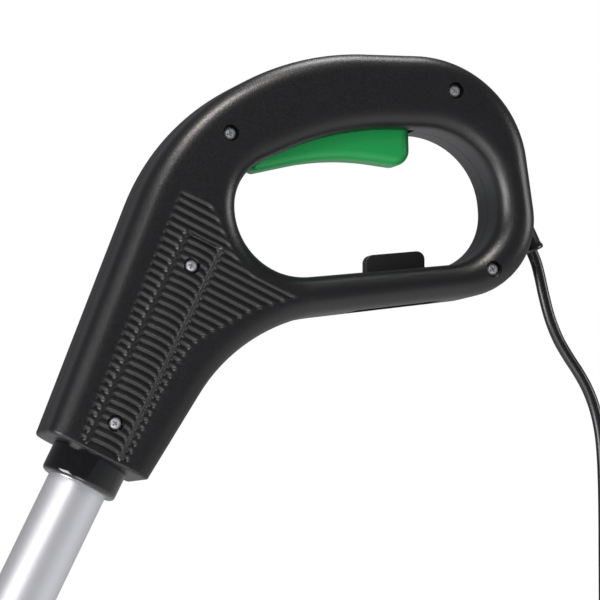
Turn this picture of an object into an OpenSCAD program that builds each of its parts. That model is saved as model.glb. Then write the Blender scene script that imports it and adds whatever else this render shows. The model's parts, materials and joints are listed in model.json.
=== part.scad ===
// Corded electric string trimmer.
// Frame: origin at the centre of the rear grip, +Z up, -X towards the cutting head,
// +X towards the user, -Y the user's left side. The cutting plane is level.
// Handle outlines are given as [x, z, corner radius] in the mid plane (y = 0).

/* [Rear handle] */
// Depth of the top grip, top to bottom
grip_t = 31.7; // [27:0.1:36]
// Length of the hand opening, front to rear
hand_w = 118; // [100:1:142]
// Height of the hand opening at its rear end
hand_h = 56; // [48:1:68]
// Thickness of the rear arm at its foot
arm_t = 16.6; // [15:0.1:21]
// Thickness of the lower bar where it meets the neck
bar_t = 17; // [15:0.1:21]
// Distance from the front of the hand opening forward to the neck's end
neck_reach = 59; // [52:1:70]
// Distance from the foot of the hand opening down to the neck's end
neck_drop = 74; // [66:1:90]
// Overall thickness of the handle, left to right
handle_d = 44; // [42:0.5:52]
// Wall of the handle shells
wall = 2.6; // [2:0.1:3.2]
// Largest radius of the handle's long edges
edge_r = 9; // [5:0.5:10]

/* [Trigger] */
// Width of the trigger
trigger_w = 18; // [14:0.5:22]
// Length of the trigger from its nose to its tail
trigger_len = 73; // [66:0.5:76]
// Radius of the trigger's pivot pin
pivot_r = 2; // [1.6:0.1:2.4]

/* [Shaft] */
// Outer diameter of the aluminium tube
tube_d = 26; // [22:0.5:31]
// Wall of the tube
tube_wall = 1.2; // [1:0.1:2]
// Distance along the tube from the neck's end to the motor's axis
shaft_len = 700; // [580:5:860]
// Angle of the tube to the ground in the working pose
tube_angle = 64; // [60:1:68]
// Height of the collar's step over the tube
collar_step = 3.75; // [3:0.05:4.5]

/* [Cord] */
// Diameter of the supply cord
cord_d = 5; // [4.4:0.1:5.6]
// Spacing of the plug's two pins
pin_pitch = 19; // [17:0.1:21]
// Radius of the plug's pins
pin_r = 2.4; // [2:0.1:2.6]

/* [Front handle] */
// Distance along the tube from the neck's end to the clamp's middle
clamp_at = 240; // [200:5:300]
// Half width of the loop, to the middle of its bar
loop_half_w = 58; // [50:1:70]
// Reach of the loop from its pivot to the middle of its crossbar
loop_reach = 112; // [95:1:135]
// Radius of the loop's bar
loop_r = 7.5; // [6:0.5:9]

/* [Cutting head] */
// Outer radius of the motor housing
motor_r = 45; // [42:0.5:54]
// Radius of the motor shaft
shaft_r = 4; // [3.4:0.1:4.4]
// Outer radius of the spool housing
spool_r = 44; // [42:0.5:50]
// Radius of the circle that the line cuts
swath_r = 125; // [110:1:138]
// Radius of the guard's skirt
guard_r = 140; // [128:1:168]
// Sector that the guard covers, degrees
guard_sweep = 150; // [120:5:170]
// Diameter of the cutting line
line_d = 1.4; // [1.2:0.1:2]

/* [Fasteners] */
// Radius of a housing screw's shank
screw_r = 1.45; // [1.3:0.05:1.6]
// Radius of a housing screw's head
screw_head_r = 2.8; // [2.5:0.05:3]

/* [Hidden] */
$fn = 48;

// Clearances
fit = 0.05;        // a piece seated on or in another
run = 0.4;         // a gap kept all round a moving piece
over = 0.5;        // how far a cut runs past the face it opens

// Colours
black_plastic = "#1c1c1f";
gloss_black = "#101012";
green_plastic = "#228b4a";
tube_silver = "#d3d4de";
zinc = "#b9babd";
brass = "#c8a04a";
copper = "#b5693a";
dark_steel = "#55585c";
rubber_black = "#151517";

// ---- handle outline ----
half_d = handle_d / 2;
grip_top = grip_t / 2;
grip_low = -grip_t / 2;
hand_front = -hand_w / 2;
hand_rear = hand_w / 2;
hand_rear_low = grip_low - hand_h;
bar_fall = 12;                       // how far the lower bar falls towards the neck
hand_front_low = hand_rear_low - bar_fall;
arm_lean = 3.6;                      // the rear arm leans back by this at its foot
neck_end = [hand_front - neck_reach, hand_front_low - neck_drop];
collar_r = tube_d / 2 + collar_step;
neck_half = collar_r + 6.75;
tube_dir = [cos(tube_angle), sin(tube_angle)];
tube_side = [sin(tube_angle), -cos(tube_angle)];
neck_front = neck_end - neck_half * tube_side;
neck_rear = neck_end + neck_half * tube_side;
shoulder = [hand_front - 29.9, grip_low - 2.1];
crown = [hand_front + 26, grip_top];
bar_front = [hand_front + 3.8, hand_front_low - bar_t];
bar_rear = [hand_rear + arm_t + 2.9, hand_rear_low - bar_t + 5.4];
arm_top = [hand_rear + 5.5, grip_top];
neck_over = 14;                      // the blank runs this far past the neck's end before it is cut

function unit(v) = v / norm(v);
function at_xz(p, y = 0) = [p[0], y, p[1]];
function along(p, q, d) = q + d * unit(q - p);

function outline(extra) = [
    [shoulder[0], shoulder[1], 98],
    [crown[0], crown[1], 112],
    [arm_top[0], arm_top[1], 50],
    [bar_rear[0], bar_rear[1], 34],
    [bar_front[0], bar_front[1], 75],
    concat(along(bar_front, neck_rear, extra), 4),
    concat(along(shoulder, neck_front, extra), 4)];
function opening() = [
    [hand_front + 46.2, grip_low, 120],
    [hand_rear - arm_lean, grip_low, 33],
    [hand_rear, hand_rear_low, 24],
    [hand_front, hand_front_low, 30.5],
    [hand_front, grip_low - 20.9, 22]];

// ---- outlines with round corners ----
// Each outline is listed clockwise. Corner i has a position and a radius.
function xy(c) = [c[0], c[1]];
function wrap(a, i) = a[(i + len(a)) % len(a)];
function cross2(a, b) = a[0] * b[1] - a[1] * b[0];
function turn(c, i) =
    let (a = unit(xy(wrap(c, i)) - xy(wrap(c, i - 1))), b = unit(xy(wrap(c, i + 1)) - xy(wrap(c, i))))
    atan2(cross2(a, b), a * b);
function tangent(c, i) = wrap(c, i)[2] * tan(abs(turn(c, (i + len(c)) % len(c))) / 2);
function room(c, i) =
    let (t = tangent(c, i), l0 = norm(xy(wrap(c, i)) - xy(wrap(c, i - 1))),
         l1 = norm(xy(wrap(c, i + 1)) - xy(wrap(c, i))))
    min(1, 0.999 * l0 / (t + tangent(c, i - 1)), 0.999 * l1 / (t + tangent(c, i + 1)));
function shift_line(a, b, d) = let (u = unit(b - a), n = [u[1], -u[0]]) [a + d * n, u];
function meet(p, u, q, v) = p + u * (cross2(q - p, v) / cross2(u, v));
// Moves every edge of a clockwise outline inwards by d (outwards when d is negative)
function inset(c, d) = [for (i = [0:len(c) - 1])
    let (a = shift_line(xy(wrap(c, i - 1)), xy(wrap(c, i)), d),
         b = shift_line(xy(wrap(c, i)), xy(wrap(c, i + 1)), d),
         p = meet(a[0], a[1], b[0], b[1]))
    [p[0], p[1], max(0.4, wrap(c, i)[2] + (turn(c, i) < 0 ? -d : d))]];
// Points of the outline, with an arc at every corner
function rounded(c, step = 9) = [for (i = [0:len(c) - 1])
    let (p = xy(c[i]), a = turn(c, i), r = c[i][2] * room(c, i), s = sign(a),
         u = unit(p - xy(wrap(c, i - 1))), start = p - u * r * tan(abs(a) / 2),
         centre = start + r * s * [-u[1], u[0]], n = max(1, ceil(abs(a) / step)))
    for (k = [0:n]) let (q = start - centre, w = a * k / n)
        centre + [q[0] * cos(w) - q[1] * sin(w), q[0] * sin(w) + q[1] * cos(w)]];

// ---- places in the handle ----
screw_ends = [
    [hand_front - 3, grip_low - 4.6],
    [hand_rear - 21.8, grip_low + 16.4],
    [hand_rear - 5, hand_rear_low - 4.3],
    neck_end + 89.8 * tube_dir,
    neck_end + 15.4 * tube_dir];
tube_screw_at = 15.4;                // the last handle screw, measured along the tube
recess_r = screw_head_r + 0.8;
recess_floor = half_d - 4.8;
screw_reach = half_d - 4.2;          // how far a handle screw goes into the right shell
head_h = 2.2;
boss_r = 5.2;
tube_in = 55;                        // length of tube inside the handle
socket_len = 57;
socket_r = tube_d / 2 + 6.4;
pivot = [hand_front + 13, grip_low - 5.2];
nose = hand_front + 6.6;
tail = nose + trigger_len;
trigger_top = grip_low + 3.9;
trigger_swing = 6;                   // degrees
slot_half = trigger_w / 2 + run;
plunger_x = 0;
plunger_r = 2.5;
switch_low = grip_low + 12.9;
switch_h = 14.5;
switch_x = [-8, 22];
switch_half = 8;
terminal_z = [switch_low + 5, switch_low + 11];
spring_x = -20;
hook_x = [1.8, 28.3];
hook_half = 3;
hook_rise = 7.8;
pocket_x = [hook_x[0] - 5.8, hook_x[1] + 5.7];
pocket_half = 11;
function bar_top(x) = hand_rear_low - (hand_rear - x) * bar_fall / hand_w;
function bar_low(x) = bar_rear[1] + (bar_rear[0] - x) * (bar_front[1] - bar_rear[1]) / (bar_rear[0] - bar_front[0]);

// ---- places in the cord, the leads and the boot ----
cord_r = cord_d / 2;
boot_mouth = [hand_rear + 18.6, hand_rear_low + 5.3];
boot_tilt = 64.5;                    // degrees below level, pointing to the rear
boot_dir = [cos(boot_tilt), -sin(boot_tilt)];
boot_rim_r = cord_r + 2.85;
boot_len = 21;
clamp_mid = [hand_rear - 6, grip_low + 2];
clamp_turn = 37;                     // the clamp bar's slope in the mid plane
// Route of the free cord from the boot's mouth down to the plug [x, z]
CORD = [[77.6, -66.6], [79.6, -71.5], [81.2, -77.5], [83.1, -86], [85.7, -95.5], [89.4, -104.5],
    [94, -112.2], [98.6, -119], [102.6, -126], [105.8, -134], [108, -143], [109.2, -153],
    [109.8, -166], [110, -182], [110, -200], [110, -220], [110, -240], [110, -260], [110, -280],
    [110, -300], [110, -320], [110, -340], [110, -360], [110, -380], [110, -400]];
// Route of the sheathed end inside the rear arm [x, z], from the boot to the clamp
INNER_END = [[77.2, -65.8], [73.4, -57.8], [69.6, -50], [66, -42], [62, -33.5], [57.8, -25], [53, -15],
    [47, -7]];
// Route of the motor lead inside the handle [x, z], from the switch to the tube's mouth
LEAD = [[-10, 4], [-18, 4.5], [-30, 4], [-44, -2], [-60, -8.5], [-74, -18.5], [-84, -32], [-90.5, -50],
    [-93.5, -70], [-94.5, -90]];
lead_r = 2.5;
wire_r = 1.1;
// Routes of the two wires from the cord's inner end to the switch [x, y, z], below and above the boss
LOW_WIRE = [[46, -1.4, -6.1], [42, -1.6, -8.5], [35, -1.6, -8.6], [31.4, -1.2, -6], [30, 0, -2.4],
    [29.9, 0, 2.06], [28.3, 0, 2.06]];
HIGH_WIRE = [[46, 1.4, -5], [46.2, 2, 0], [43.3, 2, 5], [37, 1.6, 8.2], [31, 0, 8.06], [28.3, 0, 8.06]];
plug_top = CORD[len(CORD) - 1];
plug_neck = 22;
plug_body_h = 34;
pin_len = 19;
plug_face = plug_top[1] - plug_neck - plug_body_h;

// ---- places in the cutting head ----
motor_at = neck_end - shaft_len * tube_dir;
tube_end = shaft_len - 33;           // the tube's lower end, measured from the neck's end
head_wall = 3;
motor_in = motor_r - head_wall;
socket_end = 110;                    // the head's tube socket, measured up from the motor's axis
head_screw_up = 62;                  // the screw that crosses the tube, measured the same way
dome_top = 18;
housing_low = -112;
plate_t = 3;
bearing_r = 11;
bearing_h = 7;
upper_bearing_z = -20;
lower_bearing_z = -111;
core_top = -42;
core_low = -82;
core_r = motor_r - 14;
bore_r = core_r - 12.8;
rotor_r = bore_r - 1.2;
comm_r = 10.5;
comm_z = [-36, -22];
fan_r = motor_r - 15;
fan_z = [-101.5, -92];
guard_top = housing_low - plate_t;
guard_t = 3.2;
skirt_low = -150;
cup_top = guard_top - guard_t - 1.8;
cup_low = cup_top - 32;
eyelet_z = cup_top - 17;
cap_low = cup_low - 4.5;
tap_travel = 4;
tap_flange_t = 2.6;
tap_flange_z = cup_low + 1.2;
tap_low = cap_low - 14.5;
tap_r = spool_r / 2;
spool_top = cup_top - 3 - tap_travel - 1.6;
spool_low = tap_flange_z + tap_flange_t + run;
flange_t = 1.8;
spool_core_r = 18;
spool_flange_r = spool_r - 6.5;
hub_r = shaft_r + 4.2;
hub_low = cup_top - 14;
shell_screws = [[-1, -9], [1, -9], [-1, housing_low + 15], [1, housing_low + 15]];
shell_screw_x = motor_in - 5.2;
guard_bolt_r = motor_r - 8;

// ---- general shapes ----
// A slab of a mid-plane outline, from y0 to y1
module slab(y0, y1) translate([0, y1, 0]) rotate([90, 0, 0]) linear_extrude(y1 - y0) children();
// A rod along Y at [x, z]
module y_rod(p, r, y0, y1) translate([p[0], y0, p[1]]) rotate([-90, 0, 0]) cylinder(r = r, h = y1 - y0);
module ring(r_out, r_in, z0, z1) translate([0, 0, z0]) difference() {
    cylinder(r = r_out, h = z1 - z0);
    translate([0, 0, -over]) cylinder(r = r_in, h = z1 - z0 + 2 * over);
}
// A block given by its corner and its opposite corner
module block(a, b) translate(a) cube(b - a);
// Frame of the tube: Z up along it, X to its rear side, origin at the neck's end
module on_tube(s = 0) translate(at_xz(neck_end)) rotate([0, 90 - tube_angle, 0]) translate([0, 0, s]) children();
// Frame of the motor: Z up, origin where the tube's axis meets the motor's
module on_motor() translate(at_xz(motor_at)) children();
// Frame of the head's socket: Z up along the tube, origin at the motor's axis
module on_socket() on_motor() rotate([0, 90 - tube_angle, 0]) children();
module left_half(size = 2400) intersection() {
    children();
    translate([-size / 2, -size, -size / 2]) cube(size);
}
module to_right() mirror([0, 1, 0]) children();

// A pan head screw along +Z, its head's underside at z = 0, with a cross recess
module screw(r, length, head, h = head_h) {
    difference() {
        union() {
            translate([0, 0, -over]) cylinder(r = r, h = length + over);
            rotate_extrude() polygon([[0, 0], [head, 0], [head, -h * 0.45], [head * 0.8, -h * 0.85], [head * 0.4, -h],
                [0, -h]]);
        }
        for (a = [0, 90]) rotate([0, 0, a])
            block([-head * 0.55, -head * 0.11, -h - over], [head * 0.55, head * 0.11, -h * 0.5]);
    }
}
// A screw along +Y at [x, z], its head seated at y0
module y_screw(p, y0, length, r = screw_r, head = screw_head_r)
    translate([p[0], y0, p[1]]) rotate([-90, 0, 0]) screw(r, length, head);

// A round tube swept along points, its ends square to the path
function path_dir(p, i) = unit(p[min(i + 1, len(p) - 1)] - p[max(i - 1, 0)]);
function ring_at(p, i, r, sides, side) = let (d = path_dir(p, i), u = unit(side - (side * d) * d), v = cross(d, u))
    [for (k = [0:sides - 1]) p[i] + r * (cos(360 * k / sides) * u + sin(360 * k / sides) * v)];
module sweep(p, r, sides = 8, side = [0, 1, 0]) {
    n = len(p);
    points = [for (i = [0:n - 1]) for (q = ring_at(p, i, r, sides, side)) q];
    skin = [for (i = [0:n - 2]) for (k = [0:sides - 1]) let (a = i * sides + k, b = i * sides + (k + 1) % sides)
        for (f = [[a, a + sides, b], [b, a + sides, b + sides]]) f];
    caps = [[for (k = [0:sides - 1]) k], [for (k = [sides - 1:-1:0]) (n - 1) * sides + k]];
    polyhedron(points, concat(skin, caps));
}
// A coil spring along +Z from z0 to z1
module spring(r, wire, turns, z0, z1, steps = 10) {
    n = turns * steps;
    sweep([for (i = [0:n]) [r * cos(360 * i / steps), r * sin(360 * i / steps),
        z0 + wire + (z1 - z0 - 2 * wire) * i / n]], wire, 6, [0, 0, 1]);
}
function lift(path, y = 0) = [for (p = path) at_xz(p, y)];

// ---- rear handle ----
handle_edge = min(edge_r, arm_t / 2, bar_t / 2);
edge_steps = 4;
function step_in(r, k) = r * (1 - cos(90 * k / edge_steps * 1.1));
function step_out(half, r, k) = half - r + r * sin(min(90, 90 * (k + 0.5) / edge_steps * 1.1));

// The solid between an outline and the hand opening, its edges rounded in steps, y below 0
module blank(skin, hole, half, r) for (k = [0:edge_steps - 1]) {
    low = k == 0 ? 0 : step_out(half, r, k - 1) - 1;
    slab(-step_out(half, r, k), -low) difference() {
        polygon(rounded(inset(skin, step_in(r, k))));
        polygon(rounded(inset(hole, -step_in(r, k))));
    }
}
module shell_hollow() blank(inset(outline(0), wall), inset(opening(), -wall), half_d - wall,
    max(handle_edge - wall, 2));
module hook_pocket(grow, half, far, past = 0) slab(-half, past) polygon([
    [pocket_x[0] - grow, bar_top(pocket_x[0] - grow) + far], [pocket_x[1] + grow, bar_top(pocket_x[1] + grow) + far],
    [pocket_x[1] + grow, bar_low(pocket_x[1] + grow) - far], [pocket_x[0] - grow, bar_low(pocket_x[0] - grow) - far]]);
module boot_frame() translate(at_xz(boot_mouth)) rotate([0, 90 + boot_tilt, 0]) children();

module handle_half() difference() {
    union() {
        difference() {
            blank(outline(neck_over), opening(), half_d, handle_edge);
            shell_hollow();
        }
        // bosses for the screws and for the trigger's pin
        for (i = [0:3]) y_rod(screw_ends[i], boss_r, -half_d + wall / 2, 0);
        y_rod(pivot, pivot_r + 2, -half_d + wall / 2, -slot_half);
        // socket for the tube and its collar
        left_half() on_tube() cylinder(r = socket_r, h = socket_len);
        // walls round the retainer's pocket
        hook_pocket(1.6, pocket_half + 1.6, -0.6);
        // ribs that hold the switch
        for (x = [switch_x[0] + 2, switch_x[1] - 4])
            block([x, -half_d + wall / 2, switch_low], [x + 2, -switch_half - fit, switch_low + switch_h - 1]);
    }
    on_tube() translate([-100, -100, -60]) cube([200, 200, 60]);
    on_tube() {
        cylinder(r = collar_r + fit, h = 9);
        translate([0, 0, 3 - fit]) cylinder(r = collar_r + 2 + fit, h = 3 + 2 * fit);
        cylinder(r = tube_d / 2 + fit, h = tube_in + 0.3);
        cylinder(r = 9, h = socket_len + over);
    }
    // room for the trigger's swing
    block([nose - 1, -slot_half, grip_low - 24], [tail + 1.8, over, grip_low + wall + 4]);
    y_rod(pivot, pivot_r + fit, -half_d + 8, over);
    // the pocket, open above and below on both sides of the retainer's plate
    hook_pocket(0, pocket_half, 6, over);
    slab(-hook_half - fit, over) polygon([[pocket_x[0] - 3, bar_top(pocket_x[0]) - 3],
        [pocket_x[1] + 3, bar_top(pocket_x[1]) - 3], [pocket_x[1] + 3, bar_low(pocket_x[1]) + 3],
        [pocket_x[0] - 3, bar_low(pocket_x[0]) + 3]]);
    boot_frame() {
        translate([0, 0, -boot_len + 2.4]) cylinder(r = boot_rim_r, h = boot_len + 8);
        translate([0, 0, -boot_len - fit]) cylinder(r = boot_rim_r + 0.9 + fit, h = 2.4 + 2 * fit);
        translate([0, 0, -boot_len - 12]) cylinder(r = cord_r + 0.3, h = 14);
    }
}

module handle_shell_left() color(black_plastic) difference() {
    handle_half();
    for (p = screw_ends) {
        y_rod(p, screw_r + 0.35, -half_d, over);
        y_rod(p, recess_r, -half_d - over, -recess_floor);
    }
}

module handle_shell_right() color(black_plastic) difference() {
    union() {
        to_right() handle_half();
        // block under the cord clamp
        clamp_frame() block([-8, cord_r + fit, -3.5], [8, half_d - wall / 2, 3.5]);
        // cradle round the capacitor
        for (z = [cap_z[0] + 2, cap_z[1] - 4])
            block([cap_x[0] - 1, cap_half + fit, z], [cap_x[1] + 1, half_d - wall / 2, z + 2]);
    }
    for (p = screw_ends) y_rod(p, screw_r + 0.1, -over, screw_reach + 0.3 - 1);
    for (x = clamp_screws) clamp_frame() translate([x, 0, 0]) rotate([-90, 0, 0]) cylinder(r = 1.1, h = 12);
}

module handle_screws() color(zinc)
    for (p = screw_ends) y_screw(p, -recess_floor, recess_floor + screw_reach - 1.5);

module tube_collar() color(gloss_black) on_tube() difference() {
    union() {
        rotate_extrude() polygon([[0, -13], [collar_r - 2, -13], [collar_r - 0.6, -12.4], [collar_r, -11],
            [collar_r, 9 - fit], [0, 9 - fit]]);
        translate([0, 0, 3]) cylinder(r = collar_r + 2, h = 3);
    }
    translate([0, 0, -13 - over]) cylinder(r = tube_d / 2 + fit, h = 22 + 2 * over);
}

// ---- trigger and switch ----
function trigger_outline() = [
    [tail - 0.4, trigger_top, 1], [tail, grip_low - 16, 7], [nose + 38.4, grip_low - 11.7, 110],
    [nose, grip_low - 20.7, 1], [nose, grip_low - 1, 5], [nose + 12.4, trigger_top, 10]];
module trigger() color(green_plastic) difference() {
    union() {
        difference() {
            slab(-trigger_w / 2, trigger_w / 2) polygon(rounded(trigger_outline()));
            slab(-trigger_w / 2 + 1.8, trigger_w / 2 - 1.8) polygon(rounded(inset(trigger_outline(), 2)));
            block([nose + 14, -trigger_w / 2 + 1.8, trigger_top - 6], [tail - 3, trigger_w / 2 - 1.8, trigger_top + over]);
        }
        y_rod(pivot, pivot_r + 2, -trigger_w / 2, trigger_w / 2);
        // the pad that pushes the switch
        block([plunger_x - 2.5, -trigger_w / 2 + 1, grip_low - 11.5], [plunger_x + 2.5, trigger_w / 2 - 1, trigger_top]);
    }
    y_rod(pivot, pivot_r + fit, -trigger_w, trigger_w);
}
module trigger_pin() color(zinc) y_rod(pivot, pivot_r, -half_d + 8.2, half_d - 8.2);
module trigger_spring() color(zinc) translate([spring_x, 0, 0])
    spring(4, 0.45, 6, grip_low - 9.6, grip_low + 14.5);
module switch_housing() color("#2b2b2e") difference() {
    block([switch_x[0], -switch_half, switch_low], [switch_x[1], switch_half, switch_low + switch_h]);
    translate([plunger_x, 0, switch_low - over]) cylinder(r = plunger_r + 0.2, h = switch_h - 3.5 + over);
    for (z = terminal_z) block([switch_x[1] - 5 - fit, -3 - fit, z - 0.4 - fit],
        [switch_x[1] + over, 3 + fit, z + 0.4 + fit]);
}
module switch_plunger() color("#d9d6c8") translate([plunger_x, 0, 0]) {
    translate([0, 0, trigger_top + 0.3 + plunger_r])
        cylinder(r = plunger_r, h = switch_low + 4.5 - trigger_top - plunger_r);
    translate([0, 0, trigger_top + 0.3 + plunger_r]) sphere(r = plunger_r);
}
module switch_terminals() color(brass) for (z = terminal_z) difference() {
    block([switch_x[1] - 5, -3, z - 0.4], [switch_x[1] + 6, 3, z + 0.4]);
    translate([switch_x[1] + 3, 0, z - 2]) cylinder(r = 0.9, h = 4);
}

cap_x = [hand_front - 25, hand_front - 7];
cap_z = [grip_low - 42, grip_low - 28];
cap_half = 5;
module suppression_capacitor() color("#caa73a") {
    block([cap_x[0], -cap_half, cap_z[0]], [cap_x[1], cap_half, cap_z[1]]);
    for (x = [cap_x[0] + 4, cap_x[1] - 4]) translate([x, 0, cap_z[1] - over]) cylinder(r = 0.6, h = 7);
}

// ---- cord, clamp and leads ----
clamp_screws = [-5.6, 5.6];
module clamp_frame() translate(at_xz(clamp_mid)) rotate([0, -clamp_turn, 0]) children();
module cord_clamp() color("#3a3a3e") clamp_frame() difference() {
    block([-8, -cord_r - 3, -3], [8, -cord_r - fit, 3]);
    for (x = clamp_screws) translate([x, -10, 0]) rotate([-90, 0, 0]) cylinder(r = 1.15, h = 12);
}
module cord_clamp_screws() color(zinc) clamp_frame()
    for (x = clamp_screws) translate([x, -cord_r - 3, 0]) rotate([-90, 0, 0]) screw(1, 13, 2, 1.4);
module cord_boot() color(rubber_black) boot_frame() difference() {
    union() {
        rotate_extrude() polygon([[0, -boot_len], [boot_rim_r - 1.1, -boot_len], [boot_rim_r - 0.4, -2.6],
            [boot_rim_r - 0.05, -1.4], [boot_rim_r - 0.4, 0], [0, 0]]);
        translate([0, 0, -boot_len]) cylinder(r = boot_rim_r + 0.9, h = 2.4);
    }
    translate([0, 0, -boot_len - over]) cylinder(r = cord_r + 0.1, h = boot_len + 2 * over);
    translate([0, 0, -3.5]) cylinder(r1 = cord_r + 0.1, r2 = cord_r + 1.6, h = 3.5 + over);
}
module cord_hook() color(black_plastic) slab(-hook_half, hook_half) polygon(rounded([
    [pocket_x[0] - 2.8, bar_top(pocket_x[0]) - 3.2, 0.5], [hook_x[0], bar_top(hook_x[0]) - 3.2, 0.5],
    [hook_x[0], bar_top(hook_x[0]) + hook_rise, 3.5], [hook_x[1], bar_top(hook_x[1]) + hook_rise, 3.5],
    [hook_x[1], bar_top(hook_x[1]) - 3.2, 0.5], [pocket_x[1] + 2.8, bar_top(pocket_x[1]) - 3.2, 0.5],
    [pocket_x[1] + 2.8, bar_low(pocket_x[1]) + 3.2, 0.5], [pocket_x[0] - 2.8, bar_low(pocket_x[0]) + 3.2, 0.5]]));
module cord_inner_end() color(rubber_black) sweep(lift(INNER_END), cord_r);
module supply_leads() color(copper) for (route = [LOW_WIRE, HIGH_WIRE]) sweep(route, wire_r);
module motor_lead() color(rubber_black) {
    s0 = tube_in + 4;
    s1 = -tube_end - 4;
    inside = [for (s = [s0, 35, 8, -40, s1]) at_xz(neck_end + s * tube_dir + 6 * tube_side)];
    sweep(concat(lift(LEAD), inside, [at_xz(motor_at + 14 * tube_dir + [2, 0])]), lead_r);
}
module power_cord() color(rubber_black) sweep(lift(CORD), cord_r, 12);
module plug_frame() translate(at_xz(plug_top)) rotate([180, 0, 0]) children();
module plug_body() color(rubber_black) plug_frame() difference() {
    union() {
        cylinder(r1 = cord_r + 1.2, r2 = cord_r + 3, h = plug_neck);
        translate([0, 0, plug_neck]) rotate_extrude() polygon([[0, -over], [8, -over], [pin_pitch / 2 + 6, 6],
            [pin_pitch / 2 + 8, plug_body_h - 4], [pin_pitch / 2 + 7.4, plug_body_h], [0, plug_body_h]]);
    }
    for (x = [-1, 1] * pin_pitch / 2) translate([x, 0, plug_neck + plug_body_h - 8])
        cylinder(r = pin_r - 0.6, h = 8 + over);
}
module plug_pins() color(zinc) plug_frame() for (x = [-1, 1] * pin_pitch / 2)
    translate([x, 0, plug_neck + plug_body_h]) {
        translate([0, 0, -8]) cylinder(r = pin_r - 0.6, h = 8 + over);
        cylinder(r = pin_r, h = pin_len - 1.2);
        translate([0, 0, pin_len - 1.2]) cylinder(r1 = pin_r, r2 = pin_r - 1, h = 1.2);
    }

// ---- shaft and front handle ----
module shaft_tube() color(tube_silver) difference() {
    on_tube(-tube_end) difference() {
        cylinder(r = tube_d / 2, h = tube_end + tube_in);
        translate([0, 0, -over]) cylinder(r = tube_d / 2 - tube_wall, h = tube_end + tube_in + 2 * over);
    }
    on_tube(tube_screw_at) rotate([90, 0, 0]) cylinder(r = 1.9, h = tube_d * 2, center = true);
    on_socket() translate([0, 0, head_screw_up]) rotate([90, 0, 0]) cylinder(r = 1.9, h = tube_d * 2, center = true);
}

clamp_len = 30;
clamp_ring_r = tube_d / 2 + 5;
ear_x = -clamp_ring_r - 12;
ear_half = 8;
aux_bolt_r = 3;
lug_r = 11;
lug_t = 6;
lug_in = ear_half + run;
knob_sweep_r = 17.6;
module on_clamp() on_tube(-clamp_at) children();
module aux_clamp() color(black_plastic) on_clamp() difference() {
    union() {
        translate([0, 0, -clamp_len / 2]) cylinder(r = clamp_ring_r, h = clamp_len);
        block([ear_x, -ear_half, -9], [-tube_d / 2 - 2, ear_half, 9]);
        y_rod([ear_x, 0], 9, -ear_half, ear_half);
    }
    translate([0, 0, -clamp_len]) cylinder(r = tube_d / 2 + fit, h = clamp_len * 2);
    block([ear_x - 12, -2, -clamp_len], [0, 2, clamp_len]);
    y_rod([ear_x, 0], aux_bolt_r + fit, -ear_half - over, ear_half + over);
}
// The loop's path from the right lug, round the crossbar, to the left lug
loop_in = lug_in + lug_t / 2;
loop_bend = 26;
loop_x = ear_x - loop_reach;
function loop_corner(sy) = [for (k = [0:5]) let (a = 90 * k / 5)
    [loop_x + loop_bend * (1 - sin(a)), sy * (loop_half_w - loop_bend * (1 - cos(a))), 0]];
function reversed(a) = [for (i = [len(a) - 1:-1:0]) a[i]];
function loop_side(sy) = [[ear_x - 3, sy * loop_in, 0], [ear_x - 16, sy * (loop_in + 2), 0],
    [ear_x - 30, sy * (loop_in + 18), 0], [ear_x - 44, sy * (loop_half_w - 8), 0], [ear_x - 56, sy * loop_half_w, 0]];
module aux_handle() color(black_plastic) on_clamp() difference() {
    union() {
        sweep(concat(loop_side(1), loop_corner(1), reversed(loop_corner(-1)), reversed(loop_side(-1))), loop_r, 12,
            [0, 0, 1]);
        for (sy = [-1, 1]) y_rod([ear_x, 0], lug_r, sy * (lug_in + lug_t / 2) - lug_t / 2,
            sy * (lug_in + lug_t / 2) + lug_t / 2);
    }
    y_rod([ear_x, 0], aux_bolt_r + fit, -60, 60);
    block([ear_x - 20, -lug_in, -20], [ear_x + 20, lug_in, 20]);
    // flat seats for the bolt's head and for the knob
    for (sy = [-1, 1]) y_rod([ear_x, 0], knob_sweep_r, sy * (lug_in + lug_t + 20) - 20, sy * (lug_in + lug_t + 20) + 20);
}
grip_half = loop_half_w - loop_bend - 3;
module aux_grip() color("#2a2a2d") on_clamp() difference() {
    y_rod([loop_x, 0], loop_r + 3.2, -grip_half, grip_half);
    y_rod([loop_x, 0], loop_r + fit, -grip_half - over, grip_half + over);
}
bolt_head_y = lug_in + lug_t;
module aux_bolt() color(zinc) on_clamp() union() {
    y_rod([ear_x, 0], aux_bolt_r, -bolt_head_y - 14, bolt_head_y + over);
    y_rod([ear_x, 0], 7, bolt_head_y, bolt_head_y + 3);
}
module aux_washer() color(zinc) on_clamp() difference() {
    y_rod([ear_x, 0], 8, -bolt_head_y - 1.5, -bolt_head_y - 0.05);
    y_rod([ear_x, 0], aux_bolt_r + 0.3, -bolt_head_y - 3, -bolt_head_y + 1);
}
knob_y = bolt_head_y + 1.8;
module aux_knob() color(green_plastic) on_clamp() difference() {
    union() {
        y_rod([ear_x, 0], 9, -knob_y - 16, -knob_y);
        for (k = [0:4]) translate([ear_x, 0, 0]) rotate([0, 72 * k, 0]) translate([11, 0, 0])
            y_rod([0, 0], 5.5, -knob_y - 15, -knob_y - 4);
    }
    y_rod([ear_x, 0], aux_bolt_r + fit, -knob_y - 13, -knob_y + over);
}

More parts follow.
